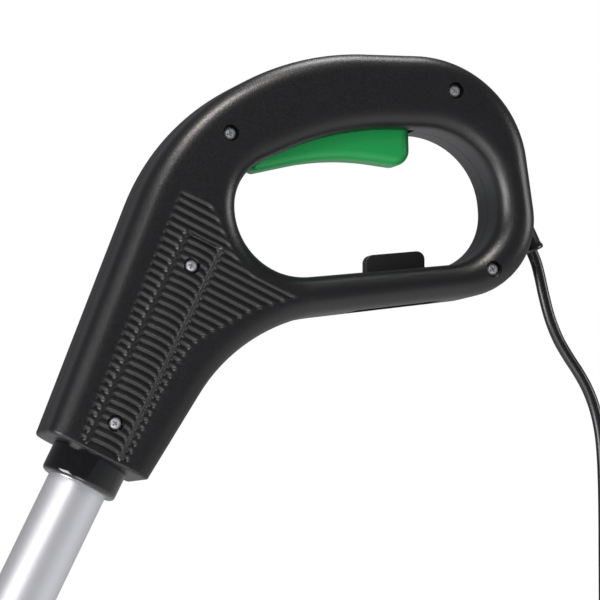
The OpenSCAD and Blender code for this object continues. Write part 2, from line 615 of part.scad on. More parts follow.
// ---- motor housing ----
function shell_profile(d) = [[0, dome_top - d], [motor_r * 0.5, dome_top - d], [motor_r * 0.8, dome_top - 7 - d],
    [motor_r - d * 0.9, -8 - d], [motor_r - d, -16 - d], [motor_r - d, housing_low + (d > 0 ? plate_t : 0)],
    [0, housing_low + (d > 0 ? plate_t : 0)]];
vent_count = 9;
module head_half() difference() {
    left_half() union() {
        difference() {
            on_motor() rotate_extrude($fn = 96) polygon(shell_profile(0));
            on_motor() rotate_extrude($fn = 96) polygon(shell_profile(head_wall));
        }
        difference() {
            on_socket() union() {
                cylinder(r = tube_d / 2 + 4.5, h = socket_end);
                hull() for (e = [[-8, tube_d / 2 + 17], [70, tube_d / 2 + 4.4]]) translate([0, 0, e[0]])
                    cylinder(r = e[1], h = 0.1, $fn = 60);
            }
            on_motor() translate([0, 0, -60]) cylinder(r = motor_in, h = 60 + dome_top - head_wall - 8);
        }
        on_motor() {
            ring(motor_in + 1, bearing_r + fit, upper_bearing_z + 1, upper_bearing_z + 4);
            ring(bearing_r + 3, bearing_r + fit, upper_bearing_z, upper_bearing_z + bearing_h);
            ring(bearing_r + 3, bearing_r + fit, housing_low, lower_bearing_z + bearing_h);
            for (s = shell_screws) y_rod([s[0] * shell_screw_x, s[1]], 4.2, -head_recess - 3, 0);
            for (a = [-30, -75, -105, -150]) rotate([0, 0, a])
                block([core_r + fit, -1.5, core_low + 3], [motor_in + 1, 1.5, core_top - 3]);
            block([-7, -motor_in, brush_z - 6], [7, -30.1, brush_z + 6]);
        }
    }
    on_socket() {
        translate([0, 0, 33 - 0.3]) cylinder(r = tube_d / 2 + fit, h = socket_end);
        translate([0, 0, -12]) cylinder(r = 10, h = socket_end);
    }
    on_motor() {
        for (k = [0:vent_count - 1]) rotate([0, 0, -180 + 180 * (k + 0.5) / vent_count]) {
            block([motor_in - 2, -1.6, fan_z[0]], [motor_r + 2, 1.6, fan_z[1]]);
            block([motor_in - 2, -1.6, core_top - 2], [motor_r + 2, 1.6, core_top + 14]);
        }
        cylinder(r = shaft_r + 3, h = 300, center = true);
        cylinder_at(bearing_r + fit, lower_bearing_z - fit, lower_bearing_z + bearing_h + over);
        for (a = guard_bolts) rotate([0, 0, a]) translate([guard_bolt_r, 0, housing_low - over])
            cylinder(r = screw_r + 0.1, h = plate_t + 2 * over);
    }
}
brush_z = (comm_z[0] + comm_z[1]) / 2;
head_recess = 19;
guard_bolts = [30, 150, 210, 330];
module head_shell_left() color(green_plastic) difference() {
    head_half();
    on_motor() for (s = shell_screws) {
        y_rod([s[0] * shell_screw_x, s[1]], screw_r + 0.35, -motor_r, over);
        y_rod([s[0] * shell_screw_x, s[1]], recess_r, -motor_r, -head_recess);
    }
    on_socket() translate([0, 0, head_screw_up]) {
        y_rod([0, 0], screw_r + 0.35, -motor_r, over);
        y_rod([0, 0], recess_r, -motor_r, -tube_d / 2 - 1.6);
    }
}
module head_shell_right() color(green_plastic) difference() {
    to_right() head_half();
    on_motor() for (s = shell_screws) y_rod([s[0] * shell_screw_x, s[1]], screw_r + 0.1, -over, 16);
    on_socket() translate([0, 0, head_screw_up]) y_rod([0, 0], screw_r + 0.1, -over, tube_d / 2 + 3.5);
}
module head_screws() color(zinc) {
    on_motor() for (s = shell_screws) y_screw([s[0] * shell_screw_x, s[1]], -head_recess, head_recess + 15);
    on_socket() translate([0, 0, head_screw_up]) y_screw([0, 0], -tube_d / 2 - 1.6, tube_d + 4.4);
}

// ---- motor ----
module arc_ring(r_out, r_in, z0, z1, a0, sweep_a) translate([0, 0, z0]) rotate([0, 0, a0])
    rotate_extrude(angle = sweep_a) translate([r_in, 0]) square([r_out - r_in, z1 - z0]);
yoke_r = core_r - 5;
module field_core() color(dark_steel) on_motor() difference() {
    ring(core_r, bore_r, core_low, core_top);
    for (a = [50, 230]) arc_ring(yoke_r, bore_r - 2, core_low - 1, core_top + 1, a, 80);
}
module field_coils() color(copper) on_motor() {
    for (a = [53, 233]) arc_ring(yoke_r - 0.3, bore_r + 1, core_low - 4, core_top + 4, a, 74);
    for (z = [core_low - 4, core_top + 0.3]) ring(yoke_r - 0.6, bore_r + 1.4, z, z + 3.7);
}
slots = 12;
module armature_core() color(dark_steel) on_motor() difference() {
    ring(rotor_r, shaft_r, core_low + 1, core_top - 1);
    for (k = [0:slots - 1]) rotate([0, 0, 360 * (k + 0.5) / slots])
        block([rotor_r - 5, -0.9, core_low], [rotor_r + 1, 0.9, core_top]);
}
module armature_windings() color(copper) on_motor() for (z = [core_low - 5, core_top - 0.9]) translate([0, 0, z])
    rotate_extrude() polygon([[shaft_r + 2, 0], [rotor_r - 4, 0], [rotor_r - 1.5, 2], [rotor_r - 1.5, 4],
        [rotor_r - 4, 5.9], [shaft_r + 2, 5.9]]);
module commutator() color(copper) on_motor() difference() {
    ring(comm_r, shaft_r, comm_z[0], comm_z[1]);
    for (k = [0:slots - 1]) rotate([0, 0, 360 * k / slots])
        block([comm_r - 1.5, -0.3, comm_z[0] - 1], [comm_r + 1, 0.3, comm_z[1] + 1]);
}
module motor_shaft() color("#c6c7ca") on_motor() translate([0, 0, hub_low - 2])
    cylinder(r = shaft_r, h = upper_bearing_z + bearing_h + 2 - hub_low);
module bearing(z) on_motor() difference() {
    ring(bearing_r, shaft_r + fit, z, z + bearing_h);
    for (e = [z - over, z + bearing_h - 0.8]) ring(bearing_r - 1.8, shaft_r + 2.4, e, e + 0.8 + over);
}
module upper_bearing() color("#a8aaad") bearing(upper_bearing_z);
module lower_bearing() color("#a8aaad") bearing(lower_bearing_z);
brush_w = [6, 7];
module brush_parts() on_motor() for (a = [90, 270]) rotate([0, 0, a]) translate([0, 0, brush_z]) children();
module brush_holders() color(brass) brush_parts() difference() {
    block([comm_r + 1.5, -brush_w[0] / 2 - 1, -brush_w[1] / 2 - 1], [30, brush_w[0] / 2 + 1, brush_w[1] / 2 + 1]);
    block([comm_r, -brush_w[0] / 2 - fit, -brush_w[1] / 2 - fit], [28.6, brush_w[0] / 2 + fit, brush_w[1] / 2 + fit]);
}
module carbon_brushes() color("#2e2e30") brush_parts()
    block([comm_r + 0.3, -brush_w[0] / 2, -brush_w[1] / 2], [comm_r + 9.5, brush_w[0] / 2, brush_w[1] / 2]);
module brush_springs() color(zinc) brush_parts() rotate([0, 90, 0]) spring(1.9, 0.35, 5, comm_r + 9.5, 28.5);
blades = 9;
module cooling_fan() color("#2c2f33") on_motor() difference() {
    union() {
        cylinder_at(fan_r, fan_z[1] - 1.8, fan_z[1]);
        cylinder_at(hub_r + 1, fan_z[0], fan_z[1]);
        for (k = [0:blades - 1]) rotate([0, 0, 360 * k / blades])
            block([hub_r, -0.9, fan_z[0]], [fan_r - 0.6, 0.9, fan_z[1] - 0.9]);
    }
    cylinder_at(shaft_r, fan_z[0] - 1, fan_z[1] + 1);
}
module cylinder_at(r, z0, z1) translate([0, 0, z0]) cylinder(r = r, h = z1 - z0);
module guard_bolt_holes(z, r) for (a = guard_bolts) rotate([0, 0, a]) translate([guard_bolt_r, 0, z])
    cylinder(r = r, h = 12, center = true);
module motor_plate() color("#8f9296") on_motor() difference() {
    ring(motor_r - 0.5, shaft_r + 3, housing_low - plate_t, housing_low);
    guard_bolt_holes(housing_low, screw_r + 0.3);
}

// ---- guard ----
module guard() color(black_plastic) on_motor() difference() {
    union() {
        ring(motor_r + 2, hub_r + 6, guard_top - guard_t, guard_top);
        rotate([0, 0, -guard_sweep / 2]) rotate_extrude(angle = guard_sweep, $fn = 96) polygon([
            [motor_r, guard_top], [motor_r, guard_top - guard_t], [guard_r - guard_t, guard_top - guard_t - 10],
            [guard_r - guard_t, skirt_low], [guard_r, skirt_low], [guard_r, guard_top - 8.5]]);
    }
    guard_bolt_holes(guard_top, screw_r + 0.3);
}
module guard_screws() color(zinc) on_motor() for (a = guard_bolts) rotate([0, 0, a])
    translate([guard_bolt_r, 0, guard_top - guard_t]) screw(screw_r, guard_t + plate_t * 2 - 0.4, 2.8, 1.5);
cutter_a = guard_sweep / 2 - 5;
cutter_r = guard_r - guard_t;
cutter_w = 9;
module on_cutter() on_motor() rotate([0, 0, cutter_a]) translate([cutter_r, 0, skirt_low]) children();
module line_cutter() color("#b4b7bb") on_cutter() difference() {
    union() {
        block([-3.6, -cutter_w, 4], [-2, cutter_w, 20]);
        block([-9.5, -cutter_w, 4], [-2, -cutter_w + 1.6, 20]);
    }
    for (z = cutter_holes) translate([-6, 2, z]) rotate([0, 90, 0]) cylinder(r = 1.6, h = 8);
}
cutter_holes = [8, 16];
module cutter_screws() color(zinc) on_cutter() for (z = cutter_holes)
    translate([-3.6, 2, z]) rotate([0, 90, 0]) screw(1.4, 1.55, 2.5, 1.3);

// ---- spool ----
module spool_hub() color(dark_steel) on_motor() difference() {
    cylinder_at(hub_r, hub_low, cup_top - 0.2);
    cylinder_at(shaft_r, hub_low - 1, cup_top + 1);
}
module spool_housing() color(black_plastic) on_motor() difference() {
    ring(spool_r, hub_r, cup_low, cup_top);
    cylinder_at(spool_r - 3, cup_low - over, cup_top - 3);
    for (a = [90, 270]) rotate([0, 0, a]) translate([spool_r - 6, 0, eyelet_z]) rotate([0, 90, 0])
        cylinder(r = eyelet_r, h = 12);
}
eyelet_r = 4;
module line_eyelets() color(zinc) on_motor() for (a = [90, 270]) rotate([0, 0, a])
    translate([spool_r - 3.4, 0, eyelet_z]) rotate([0, 90, 0]) difference() {
        cylinder(r = eyelet_r - 0.02, h = 4.4);
        translate([0, 0, -over]) cylinder(r = line_d / 2 + 0.6, h = 6);
    }
module line_spool() color("#e0ded6") on_motor() difference() {
    union() {
        ring(spool_flange_r, hub_r + 3, spool_top - flange_t, spool_top);
        ring(spool_flange_r, hub_r + 3, spool_low, spool_low + flange_t);
        ring(spool_core_r, hub_r + 3, spool_low, spool_top);
    }
}
module wound_line() color("#d8452c") on_motor()
    ring(spool_flange_r - 5, spool_core_r, spool_low + flange_t, spool_top - flange_t);
module spool_spring() color(zinc) on_motor() spring(hub_r - 1, 0.6, 5, tap_flange_z + tap_flange_t, hub_low);
module spool_cap() color(black_plastic) on_motor() {
    ring(spool_r, tap_r + run, cap_low, cup_low);
    ring(spool_r - 3 - fit, spool_r - 4.8, cup_low - over, cup_low + 3);
}
module tap_button() color(green_plastic) on_motor() rotate_extrude() polygon([[0, tap_flange_z + tap_flange_t],
    [tap_r + 3.6, tap_flange_z + tap_flange_t], [tap_r + 3.6, tap_flange_z], [tap_r, tap_flange_z],
    [tap_r, tap_low + 6], [tap_r - 2.5, tap_low + 2], [tap_r - 7, tap_low], [0, tap_low]]);
module free_line(a) color("#d8452c") on_motor() rotate([0, 0, a])
    sweep([for (k = [0:8]) let (t = k / 8) [spool_r - 2.8 + (swath_r - spool_r + 2.8) * t, 0, eyelet_z - 2.5 * t * t]],
        line_d / 2);
module cutting_line_left() free_line(270);
module cutting_line_right() free_line(90);

handle_shell_left();
handle_shell_right();
handle_screws();
tube_collar();
trigger();
trigger_pin();
trigger_spring();
switch_housing();
switch_plunger();
switch_terminals();
suppression_capacitor();
cord_clamp();
cord_clamp_screws();
cord_boot();
cord_hook();
cord_inner_end();
supply_leads();
motor_lead();
power_cord();
plug_body();
plug_pins();
shaft_tube();
aux_clamp();
aux_handle();
aux_grip();
aux_bolt();
aux_washer();
aux_knob();
head_shell_left();
head_shell_right();
head_screws();
field_core();
field_coils();
armature_core();
armature_windings();
commutator();
motor_shaft();
upper_bearing();
lower_bearing();
brush_holders();
carbon_brushes();
brush_springs();
cooling_fan();
motor_plate();
guard();
guard_screws();
line_cutter();
cutter_screws();
spool_hub();
spool_housing();
line_spool();
wound_line();
spool_spring();
spool_cap();
tap_button();
line_eyelets();
cutting_line_left();
cutting_line_right();
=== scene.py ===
"""Looks of a corded electric string trimmer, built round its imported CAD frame.

Lengths are millimetres in the sizes below and are turned to metres by MM.
The frame's origin is the centre of the rear grip, +Z up, -X towards the cutting
head, and -Y the user's left side, where the screws are driven.
"""

import json
import logging
import math
from dataclasses import dataclass
from enum import Enum
from typing import Callable, Iterable, Sequence

import bmesh
import bpy
import numpy as np
from mathutils import Matrix, Vector
from mathutils.geometry import delaunay_2d_cdt

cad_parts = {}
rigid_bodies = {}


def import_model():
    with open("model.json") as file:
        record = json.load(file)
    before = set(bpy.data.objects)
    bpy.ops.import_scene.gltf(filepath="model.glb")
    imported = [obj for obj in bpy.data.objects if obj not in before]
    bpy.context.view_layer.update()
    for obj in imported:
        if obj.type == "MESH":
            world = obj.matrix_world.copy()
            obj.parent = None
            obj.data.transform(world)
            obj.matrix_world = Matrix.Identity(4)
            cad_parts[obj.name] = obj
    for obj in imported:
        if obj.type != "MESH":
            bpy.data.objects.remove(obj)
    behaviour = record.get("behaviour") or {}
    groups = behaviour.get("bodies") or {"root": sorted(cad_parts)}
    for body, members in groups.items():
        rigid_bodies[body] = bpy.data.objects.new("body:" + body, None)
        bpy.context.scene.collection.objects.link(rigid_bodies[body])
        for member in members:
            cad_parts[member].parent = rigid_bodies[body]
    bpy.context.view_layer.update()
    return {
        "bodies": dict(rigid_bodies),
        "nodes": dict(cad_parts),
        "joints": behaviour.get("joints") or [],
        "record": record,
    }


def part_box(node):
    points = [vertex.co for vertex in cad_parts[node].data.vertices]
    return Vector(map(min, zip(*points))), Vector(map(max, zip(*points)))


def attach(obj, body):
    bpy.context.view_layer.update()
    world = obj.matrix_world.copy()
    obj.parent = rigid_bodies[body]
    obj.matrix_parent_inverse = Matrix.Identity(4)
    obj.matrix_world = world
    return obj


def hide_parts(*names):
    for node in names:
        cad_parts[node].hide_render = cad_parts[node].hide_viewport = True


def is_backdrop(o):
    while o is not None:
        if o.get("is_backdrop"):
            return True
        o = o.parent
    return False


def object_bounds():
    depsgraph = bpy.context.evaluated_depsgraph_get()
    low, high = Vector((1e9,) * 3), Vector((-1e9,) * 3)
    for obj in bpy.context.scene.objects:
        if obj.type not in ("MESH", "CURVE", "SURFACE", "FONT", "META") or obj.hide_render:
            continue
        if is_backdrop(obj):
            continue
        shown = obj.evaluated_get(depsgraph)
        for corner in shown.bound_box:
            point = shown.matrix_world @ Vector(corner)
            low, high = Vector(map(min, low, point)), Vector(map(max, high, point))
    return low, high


LOG = logging.getLogger("trimmer")
MM = 0.001
# Points of a mesh that are nearer than this, in millimetres, are one point.
MERGE = 0.004
FINE_MERGE = 0.001
# Below this angle, in degrees, the edges of a rounded moulding are shaded smooth.
SOFT_ANGLE = 50.0
# How near, in millimetres, a point may lie to a line that the triangulation keeps to.
SNAP = 1e-5
# The shaft's lean from upright, in degrees.
LEAN = 26.0
QUARTER_TURN = Matrix.Rotation(math.radians(90), 4, "X")
HALF_TURN = Matrix.Rotation(math.pi, 4, "X")
Point = tuple[float, float]
Rgba = tuple[float, float, float, float]


def linear(hex_colour: str) -> Rgba:
    """Turns an sRGB hex colour into linear values.

    Args:
        hex_colour: six hex digits after a hash sign.

    Returns:
        The linear colour with an alpha of 1.
    """
    parts = [int(hex_colour[i:i + 2], 16) / 255 for i in (1, 3, 5)]
    low = [p / 12.92 if p <= 0.04045 else ((p + 0.055) / 1.055) ** 2.4 for p in parts]
    return (low[0], low[1], low[2], 1.0)


def add_node(tree: bpy.types.NodeTree, kind: str, settings: dict | None = None,
             links: dict | None = None) -> bpy.types.Node:
    """Adds a node with its settings and its links.

    Args:
        tree: the node tree that takes the node.
        kind: the node's type name.
        settings: attributes by name, and inputs by "in:NAME" or "in:INDEX".
        links: output sockets by the name or index of the input they feed.

    Returns:
        The new node.
    """
    made = tree.nodes.new(kind)
    for key, value in (settings or {}).items():
        if key.startswith("in:"):
            name = key[3:]
            made.inputs[int(name) if name.isdigit() else name].default_value = value
        else:
            setattr(made, key, value)
    for key, socket in (links or {}).items():
        tree.links.new(socket, made.inputs[key])
    return made


class Texture(Enum):
    """How a surface was made. A drawn one has its pattern stretched along the shaft."""

    SPARK = "spark eroded mould"
    SMOOTH = "polished mould"
    DRAWN = "drawn along its length"
    GROUND = "ground or turned"
    PLATED = "plated"
    SHEATH = "extruded sheath"


@dataclass(frozen=True)
class Finish:
    """One finish: a real material and how its surface was made.

    Attributes:
        name: the material's name.
        slot: the record's material slot; not used.
        texture: the kind of surface pattern.
        colour: the main sRGB colour.
        shade: the second sRGB colour of its slight variation.
        roughness: the mean roughness.
        metallic: 1 for a bare metal.
        grain: the pattern's real pitch in millimetres.
        bump: the pattern's strength.
        coat: the weight of a clear glossy layer.
        ior: the index of refraction; a metal keeps the default.
    """

    name: str
    slot: str
    texture: Texture
    colour: str
    shade: str
    roughness: float
    metallic: float = 0.0
    grain: float = 0.6
    bump: float = 0.1
    coat: float = 0.0
    ior: float = 1.5

    def material(self) -> bpy.types.Material:
        """Makes the material once and returns it."""
        found = bpy.data.materials.get(self.name)
        if found:
            return found
        made = bpy.data.materials.new(self.name)
        made.use_nodes = True
        tree = made.node_tree
        tree.nodes.clear()
        place = add_node(tree, "ShaderNodeTexCoord")
        drawn = self.texture is Texture.DRAWN
        stretch = (1.0, 1.0, 0.03) if drawn else (1.0, 1.0, 1.0)
        turn = (0.0, math.radians(LEAN), 0.0) if drawn else (0.0, 0.0, 0.0)
        spread = add_node(tree, "ShaderNodeMapping", {"vector_type": "TEXTURE", "in:Rotation": turn},
                          {"Vector": place.outputs["Object"]})
        squeeze = add_node(tree, "ShaderNodeMapping", {"in:Scale": stretch}, {"Vector": spread.outputs[0]})
        fine = add_node(tree, "ShaderNodeTexNoise", {"in:Scale": 1 / (self.grain * MM), "in:Detail": 3.0,
                        "in:Roughness": 0.55}, {"Vector": squeeze.outputs[0]})
        broad = add_node(tree, "ShaderNodeTexNoise", {"in:Scale": 45.0, "in:Detail": 4.0},
                         {"Vector": place.outputs["Object"]})
        blend = add_node(tree, "ShaderNodeMix", {"data_type": "RGBA", "in:6": linear(self.colour),
                         "in:7": linear(self.shade)}, {0: broad.outputs[0]})
        rough = add_node(tree, "ShaderNodeMapRange", {"in:From Min": 0.3, "in:From Max": 0.7,
                         "in:To Min": max(0.02, self.roughness - 0.06), "in:To Max": self.roughness + 0.06},
                         {"Value": fine.outputs[0]})
        relief = add_node(tree, "ShaderNodeBump", {"in:Strength": self.bump, "in:Distance": 0.25 * MM},
                          {"Height": fine.outputs[0]})
        shader = add_node(tree, "ShaderNodeBsdfPrincipled", {"in:Metallic": self.metallic, "in:IOR": self.ior,
                          "in:Coat Weight": self.coat, "in:Coat Roughness": 0.08},
                          {"Base Color": blend.outputs[2], "Roughness": rough.outputs[0],
                           "Normal": relief.outputs[0]})
        add_node(tree, "ShaderNodeOutputMaterial", {}, {"Surface": shader.outputs[0]})
        return made


# Black glass-filled ABS from a spark-eroded mould: a broad soft sheen over a fine grain.
# The grain is drawn at 0.7 mm, a little coarser than real, so that it shows.
HANDLE = Finish("handle_black_abs", "handle_plastic", Texture.SPARK, "#08080a", "#0d0d10", 0.36,
                grain=0.7, bump=0.32)
# Polished black ABS: dark, with sharp highlights.
COLLAR = Finish("collar_polished_abs", "collar_plastic", Texture.SMOOTH, "#040406", "#070709", 0.12,
                grain=2.5, bump=0.03, coat=0.4)
# Green ABS with a satin mould finish.
TRIGGER = Finish("trigger_green_abs", "trigger_plastic", Texture.SMOOTH, "#0b8740", "#0e8e46", 0.38,
                 grain=0.9, bump=0.05)
SWITCH = Finish("switch_grey_nylon", "switch_plastic", Texture.SPARK, "#262629", "#2f2f33", 0.5, bump=0.15)
NYLON = Finish("natural_nylon", "plunger_plastic", Texture.SMOOTH, "#d9d5c6", "#cfcab8", 0.4, bump=0.05)
FILM = Finish("capacitor_yellow_epoxy", "capacitor_film", Texture.SMOOTH, "#c89f2e", "#b88f22", 0.3,
              bump=0.05)
# Rubber-like PVC sheath: dark with two soft highlights along it.
SHEATH = Finish("cord_pvc", "cord_rubber", Texture.SHEATH, "#08080a", "#0c0c0e", 0.3, grain=1.2, bump=0.02)
GRIP = Finish("grip_soft_rubber", "grip_rubber", Texture.SPARK, "#1d1d20", "#252529", 0.62, bump=0.25)
WIRE = Finish("wire_pvc", "lead_pvc", Texture.SMOOTH, "#7a3a1c", "#6a3016", 0.35, bump=0.03)
LINE = Finish("nylon_line", "line_nylon", Texture.SMOOTH, "#d8492c", "#c63f25", 0.28, grain=1.0, bump=0.05)
# Anodised aluminium, drawn along the tube: a satin streak that keeps the lights' shape.
TUBE = Finish("anodised_aluminium", "anodised_aluminium", Texture.DRAWN, "#dcdae8", "#d2d0e0", 0.36,
              metallic=0.7, grain=0.8, bump=0.03)
ZINC = Finish("bright_zinc_steel", "zinc_steel", Texture.PLATED, "#e4e5e8", "#d2d3d6", 0.4, metallic=0.7,
              grain=0.5, bump=0.06)
SPRING = Finish("spring_steel", "spring_steel", Texture.GROUND, "#a2a4a8", "#8d8f93", 0.3, metallic=1.0,
                bump=0.06)
BEARING = Finish("bearing_steel", "bearing_steel", Texture.GROUND, "#aeb0b3", "#9b9da0", 0.22, metallic=1.0,
                 bump=0.04)
BLADE = Finish("ground_blade_steel", "blade_steel", Texture.GROUND, "#b6b8bb", "#a0a2a6", 0.28, metallic=1.0,
               bump=0.1)
CASTING = Finish("die_cast_alloy", "plate_metal", Texture.SPARK, "#8c8f93", "#7d8084", 0.45, metallic=1.0,
                 bump=0.2)
LAMINATION = Finish("varnished_lamination", "lamination_steel", Texture.GROUND, "#4a4c50", "#3b3d41", 0.4,
                    metallic=0.9, grain=0.5, bump=0.2)
COPPER = Finish("enamelled_copper", "copper", Texture.GROUND, "#b0602f", "#9b5226", 0.3, metallic=0.9,
                grain=0.5, bump=0.3)
BRASS = Finish("pressed_brass", "brass", Texture.GROUND, "#c39a45", "#ad8638", 0.3, metallic=1.0, bump=0.08)
CARBON = Finish("sintered_carbon", "carbon", Texture.SPARK, "#242427", "#1b1b1e", 0.6, bump=0.2)

FLOOR = Finish("paper_backdrop", "handle_plastic", Texture.SMOOTH, "#f2f2f2", "#eeeeee", 0.9, bump=0.0)

FRAME: dict = {}

NODE_FINISH: dict[str, Finish] = {
    "trigger_pin": ZINC, "trigger_spring": SPRING, "switch_housing": SWITCH, "switch_plunger": NYLON,
    "switch_terminals": BRASS, "suppression_capacitor": FILM, "cord_clamp": SWITCH, "cord_clamp_screws": ZINC,
    "cord_inner_end": SHEATH, "supply_leads": WIRE, "motor_lead": SHEATH, "plug_pins": ZINC,
    "aux_bolt": ZINC, "aux_washer": ZINC, "field_core": LAMINATION, "field_coils": COPPER,
    "armature_core": LAMINATION, "armature_windings": COPPER, "commutator": COPPER, "motor_shaft": SPRING,
    "upper_bearing": BEARING, "lower_bearing": BEARING, "brush_holders": BRASS, "carbon_brushes": CARBON,
    "brush_springs": SPRING, "cooling_fan": SWITCH, "spool_hub": LAMINATION, "line_spool": NYLON,
    "spool_spring": SPRING, "line_eyelets": ZINC, "cutter_screws": ZINC,
}


# ---- mesh tools ----

def new_object(name: str, mesh: bpy.types.Mesh) -> bpy.types.Object:
    """Links a mesh to the scene as an object and returns it."""
    made = bpy.data.objects.new(name, mesh)
    bpy.context.scene.collection.objects.link(made)
    return made


def from_faces(name: str, points: Iterable[Sequence[float]], faces: Iterable[Sequence[int]],
               smooth_deg: float = 35.0, merge: float = MERGE) -> bpy.types.Object:
    """Makes a piece from points in millimetres and faces.

    Args:
        name: the piece's name.
        points: corners in millimetres.
        faces: corner indices of each face.
        smooth_deg: edges flatter than this are shaded smooth.
        merge: points nearer than this in millimetres are merged.

    Returns:
        The new object, its doubles merged and its faces pointing outwards.
    """
    mesh = bpy.data.meshes.new(name)
    mesh.from_pydata([[c * MM for c in p] for p in points], [], [list(f) for f in faces])
    tidy(mesh, smooth_deg, merge)
    return new_object(name, mesh)


def tidy(mesh: bpy.types.Mesh, smooth_deg: float, merge: float) -> None:
    """Merges a mesh's doubles, points its faces outwards and sets its smooth shading.

    Args:
        mesh: the mesh, changed in place.
        smooth_deg: edges flatter than this are shaded smooth.
        merge: points nearer than this in millimetres are merged.
    """
    work = bmesh.new()
    work.from_mesh(mesh)
    bmesh.ops.remove_doubles(work, verts=work.verts, dist=merge * MM)
    bmesh.ops.recalc_face_normals(work, faces=work.faces)
    for face in work.faces:
        face.smooth = True
    for edge in work.edges:
        edge.smooth = len(edge.link_faces) == 2 and edge.calc_face_angle(0.0) < math.radians(smooth_deg)
    work.to_mesh(mesh)
    work.free()


def flattened(piece: bpy.types.Object) -> bpy.types.Object:
    """Applies a piece's modifiers, so that it is a plain mesh.

    Args:
        piece: the piece; one that is not a mesh is removed.

    Returns:
        The piece, or the mesh object that takes its place.
    """
    graph = bpy.context.evaluated_depsgraph_get()
    mesh = bpy.data.meshes.new_from_object(piece.evaluated_get(graph))
    piece.modifiers.clear()
    if piece.type == "MESH":
        piece.data = mesh
        return piece
    name = piece.name
    bpy.data.objects.remove(piece)
    return new_object(name, mesh)


def bevelled(piece: bpy.types.Object, width: float, segments: int = 2,
             angle: float = 30.0) -> bpy.types.Object:
    """Rounds a piece's sharp edges.

    Args:
        piece: the piece.
        width: the width of the rounded edges in millimetres.
        segments: how many faces round each edge.
        angle: edges sharper than this in degrees are rounded.

    Returns:
        The rounded piece.
    """
    bevel = piece.modifiers.new("edges", "BEVEL")
    bevel.width = width * MM
    bevel.segments = segments
    bevel.limit_method = "ANGLE"
    bevel.angle_limit = math.radians(angle)
    made = flattened(piece)
    tidy(made.data, smooth_deg=40.0, merge=FINE_MERGE)
    return made


def dress(piece: bpy.types.Object, finish: Finish, body: str, *nodes: str) -> bpy.types.Object:
    """Gives a piece its finish, its body and the CAD nodes that it stands for.

    Args:
        piece: the piece.
        finish: its finish, which has its slot.
        body: the body that it rides on.
        *nodes: the CAD nodes that it stands for.

    Returns:
        The same piece.
    """
    piece.data.materials.clear()
    piece.data.materials.append(finish.material())
    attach(piece, body)
    if nodes:
        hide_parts(*nodes)
    LOG.info("%s rides on %s", piece.name, body)
    return piece


def refined(node: str, width: float, segments: int = 2) -> bpy.types.Object:
    """Copies a CAD node as a piece with rounded edges.

    Args:
        node: the CAD node's name.
        width: the width of its rounded edges in millimetres.
        segments: how many faces round each edge.

    Returns:
        The new piece, named after the node.
    """
    mesh = FRAME["nodes"][node].data.copy()
    work = bmesh.new()
    work.from_mesh(mesh)
    bmesh.ops.remove_doubles(work, verts=work.verts, dist=MERGE * MM)
    bmesh.ops.dissolve_limit(work, angle_limit=math.radians(1.0), verts=work.verts, edges=work.edges)
    work.to_mesh(mesh)
    work.free()
    return bevelled(new_object(node + "_finished", mesh), width, segments)


def lathe(name: str, profile: Sequence[Point], frame: Matrix, steps: int = 64) -> bpy.types.Object:
    """Turns a profile of (radius, height) about an axis.

    Args:
        name: the piece's name.
        profile: (radius, height) in millimetres; the ends lie on the axis or meet each other.
        frame: places the turned piece, its axis along Z; its translation is in millimetres.
        steps: faces round the axis.

    Returns:
        The new object.
    """
    points, faces = [], []
    for k in range(steps):
        a = 2 * math.pi * k / steps
        points += [frame @ Vector((r * math.cos(a), r * math.sin(a), z)) for r, z in profile]
    n = len(profile)
    for k in range(steps):
        for i in range(n - 1):
            a, b = k * n + i, (k + 1) % steps * n + i
            faces.append((a, b, b + 1, a + 1))
        if profile[0][0] > 0 and profile[-1] != profile[0]:
            a, b = k * n + n - 1, (k + 1) % steps * n + n - 1
            faces.append((a, b, (k + 1) % steps * n, k * n))
    return from_faces(name, points, faces, smooth_deg=32.0)


def tilted(origin: Sequence[float], degrees: float) -> Matrix:
    """A frame at a point in millimetres, turned about Y."""
    return Matrix.Translation(Vector(origin)) @ Matrix.Rotation(math.radians(degrees), 4, "Y")


def tube_along(name: str, points: Sequence[Sequence[float]], radius: float, sides: int = 16,
               smooth: int = 6) -> bpy.types.Object:
    """Makes a round bar or cord along points in millimetres.

    Args:
        name: the piece's name.
        points: the path.
        radius: the bar's radius in millimetres.
        sides: faces round the bar.
        smooth: points added on each stretch by a smooth curve through the path.

    Returns:
        The new object, closed at both ends.
    """
    path = spline(points, smooth)
    rings, faces = [], []
    side = Vector((0, 1, 0))
    for i, p in enumerate(path):
        along = (path[min(i + 1, len(path) - 1)] - path[max(i - 1, 0)]).normalized()
        side = (side - along * side.dot(along)).normalized()
        up = along.cross(side)
        for k in range(sides):
            a = 2 * math.pi * k / sides
            rings.append(p + radius * (math.cos(a) * side + math.sin(a) * up))
    for i in range(len(path) - 1):
        for k in range(sides):
            a, b = i * sides + k, i * sides + (k + 1) % sides
            faces.append((a, b, b + sides, a + sides))
    faces += [tuple(range(sides)), tuple(range(len(rings) - sides, len(rings)))]
    return from_faces(name, rings, faces, SOFT_ANGLE)


def spline(points: Sequence[Sequence[float]], count: int) -> list[Vector]:
    """Passes a smooth curve through points.

    Args:
        points: the places that it passes through.
        count: the steps on each stretch.

    Returns:
        The curve's points.
    """
    p = [Vector(q) for q in points]
    out = []
    for i in range(len(p) - 1):
        a, b, c, d = p[max(i - 1, 0)], p[i], p[i + 1], p[min(i + 2, len(p) - 1)]
        for k in range(count):
            t = k / count
            out.append(0.5 * (2 * b + (c - a) * t + (2 * a - 5 * b + 4 * c - d) * t ** 2
                              + (3 * b - a - 3 * c + d) * t ** 3))
    return out + [p[-1]]


# ---- outlines in the handle's mid plane ----

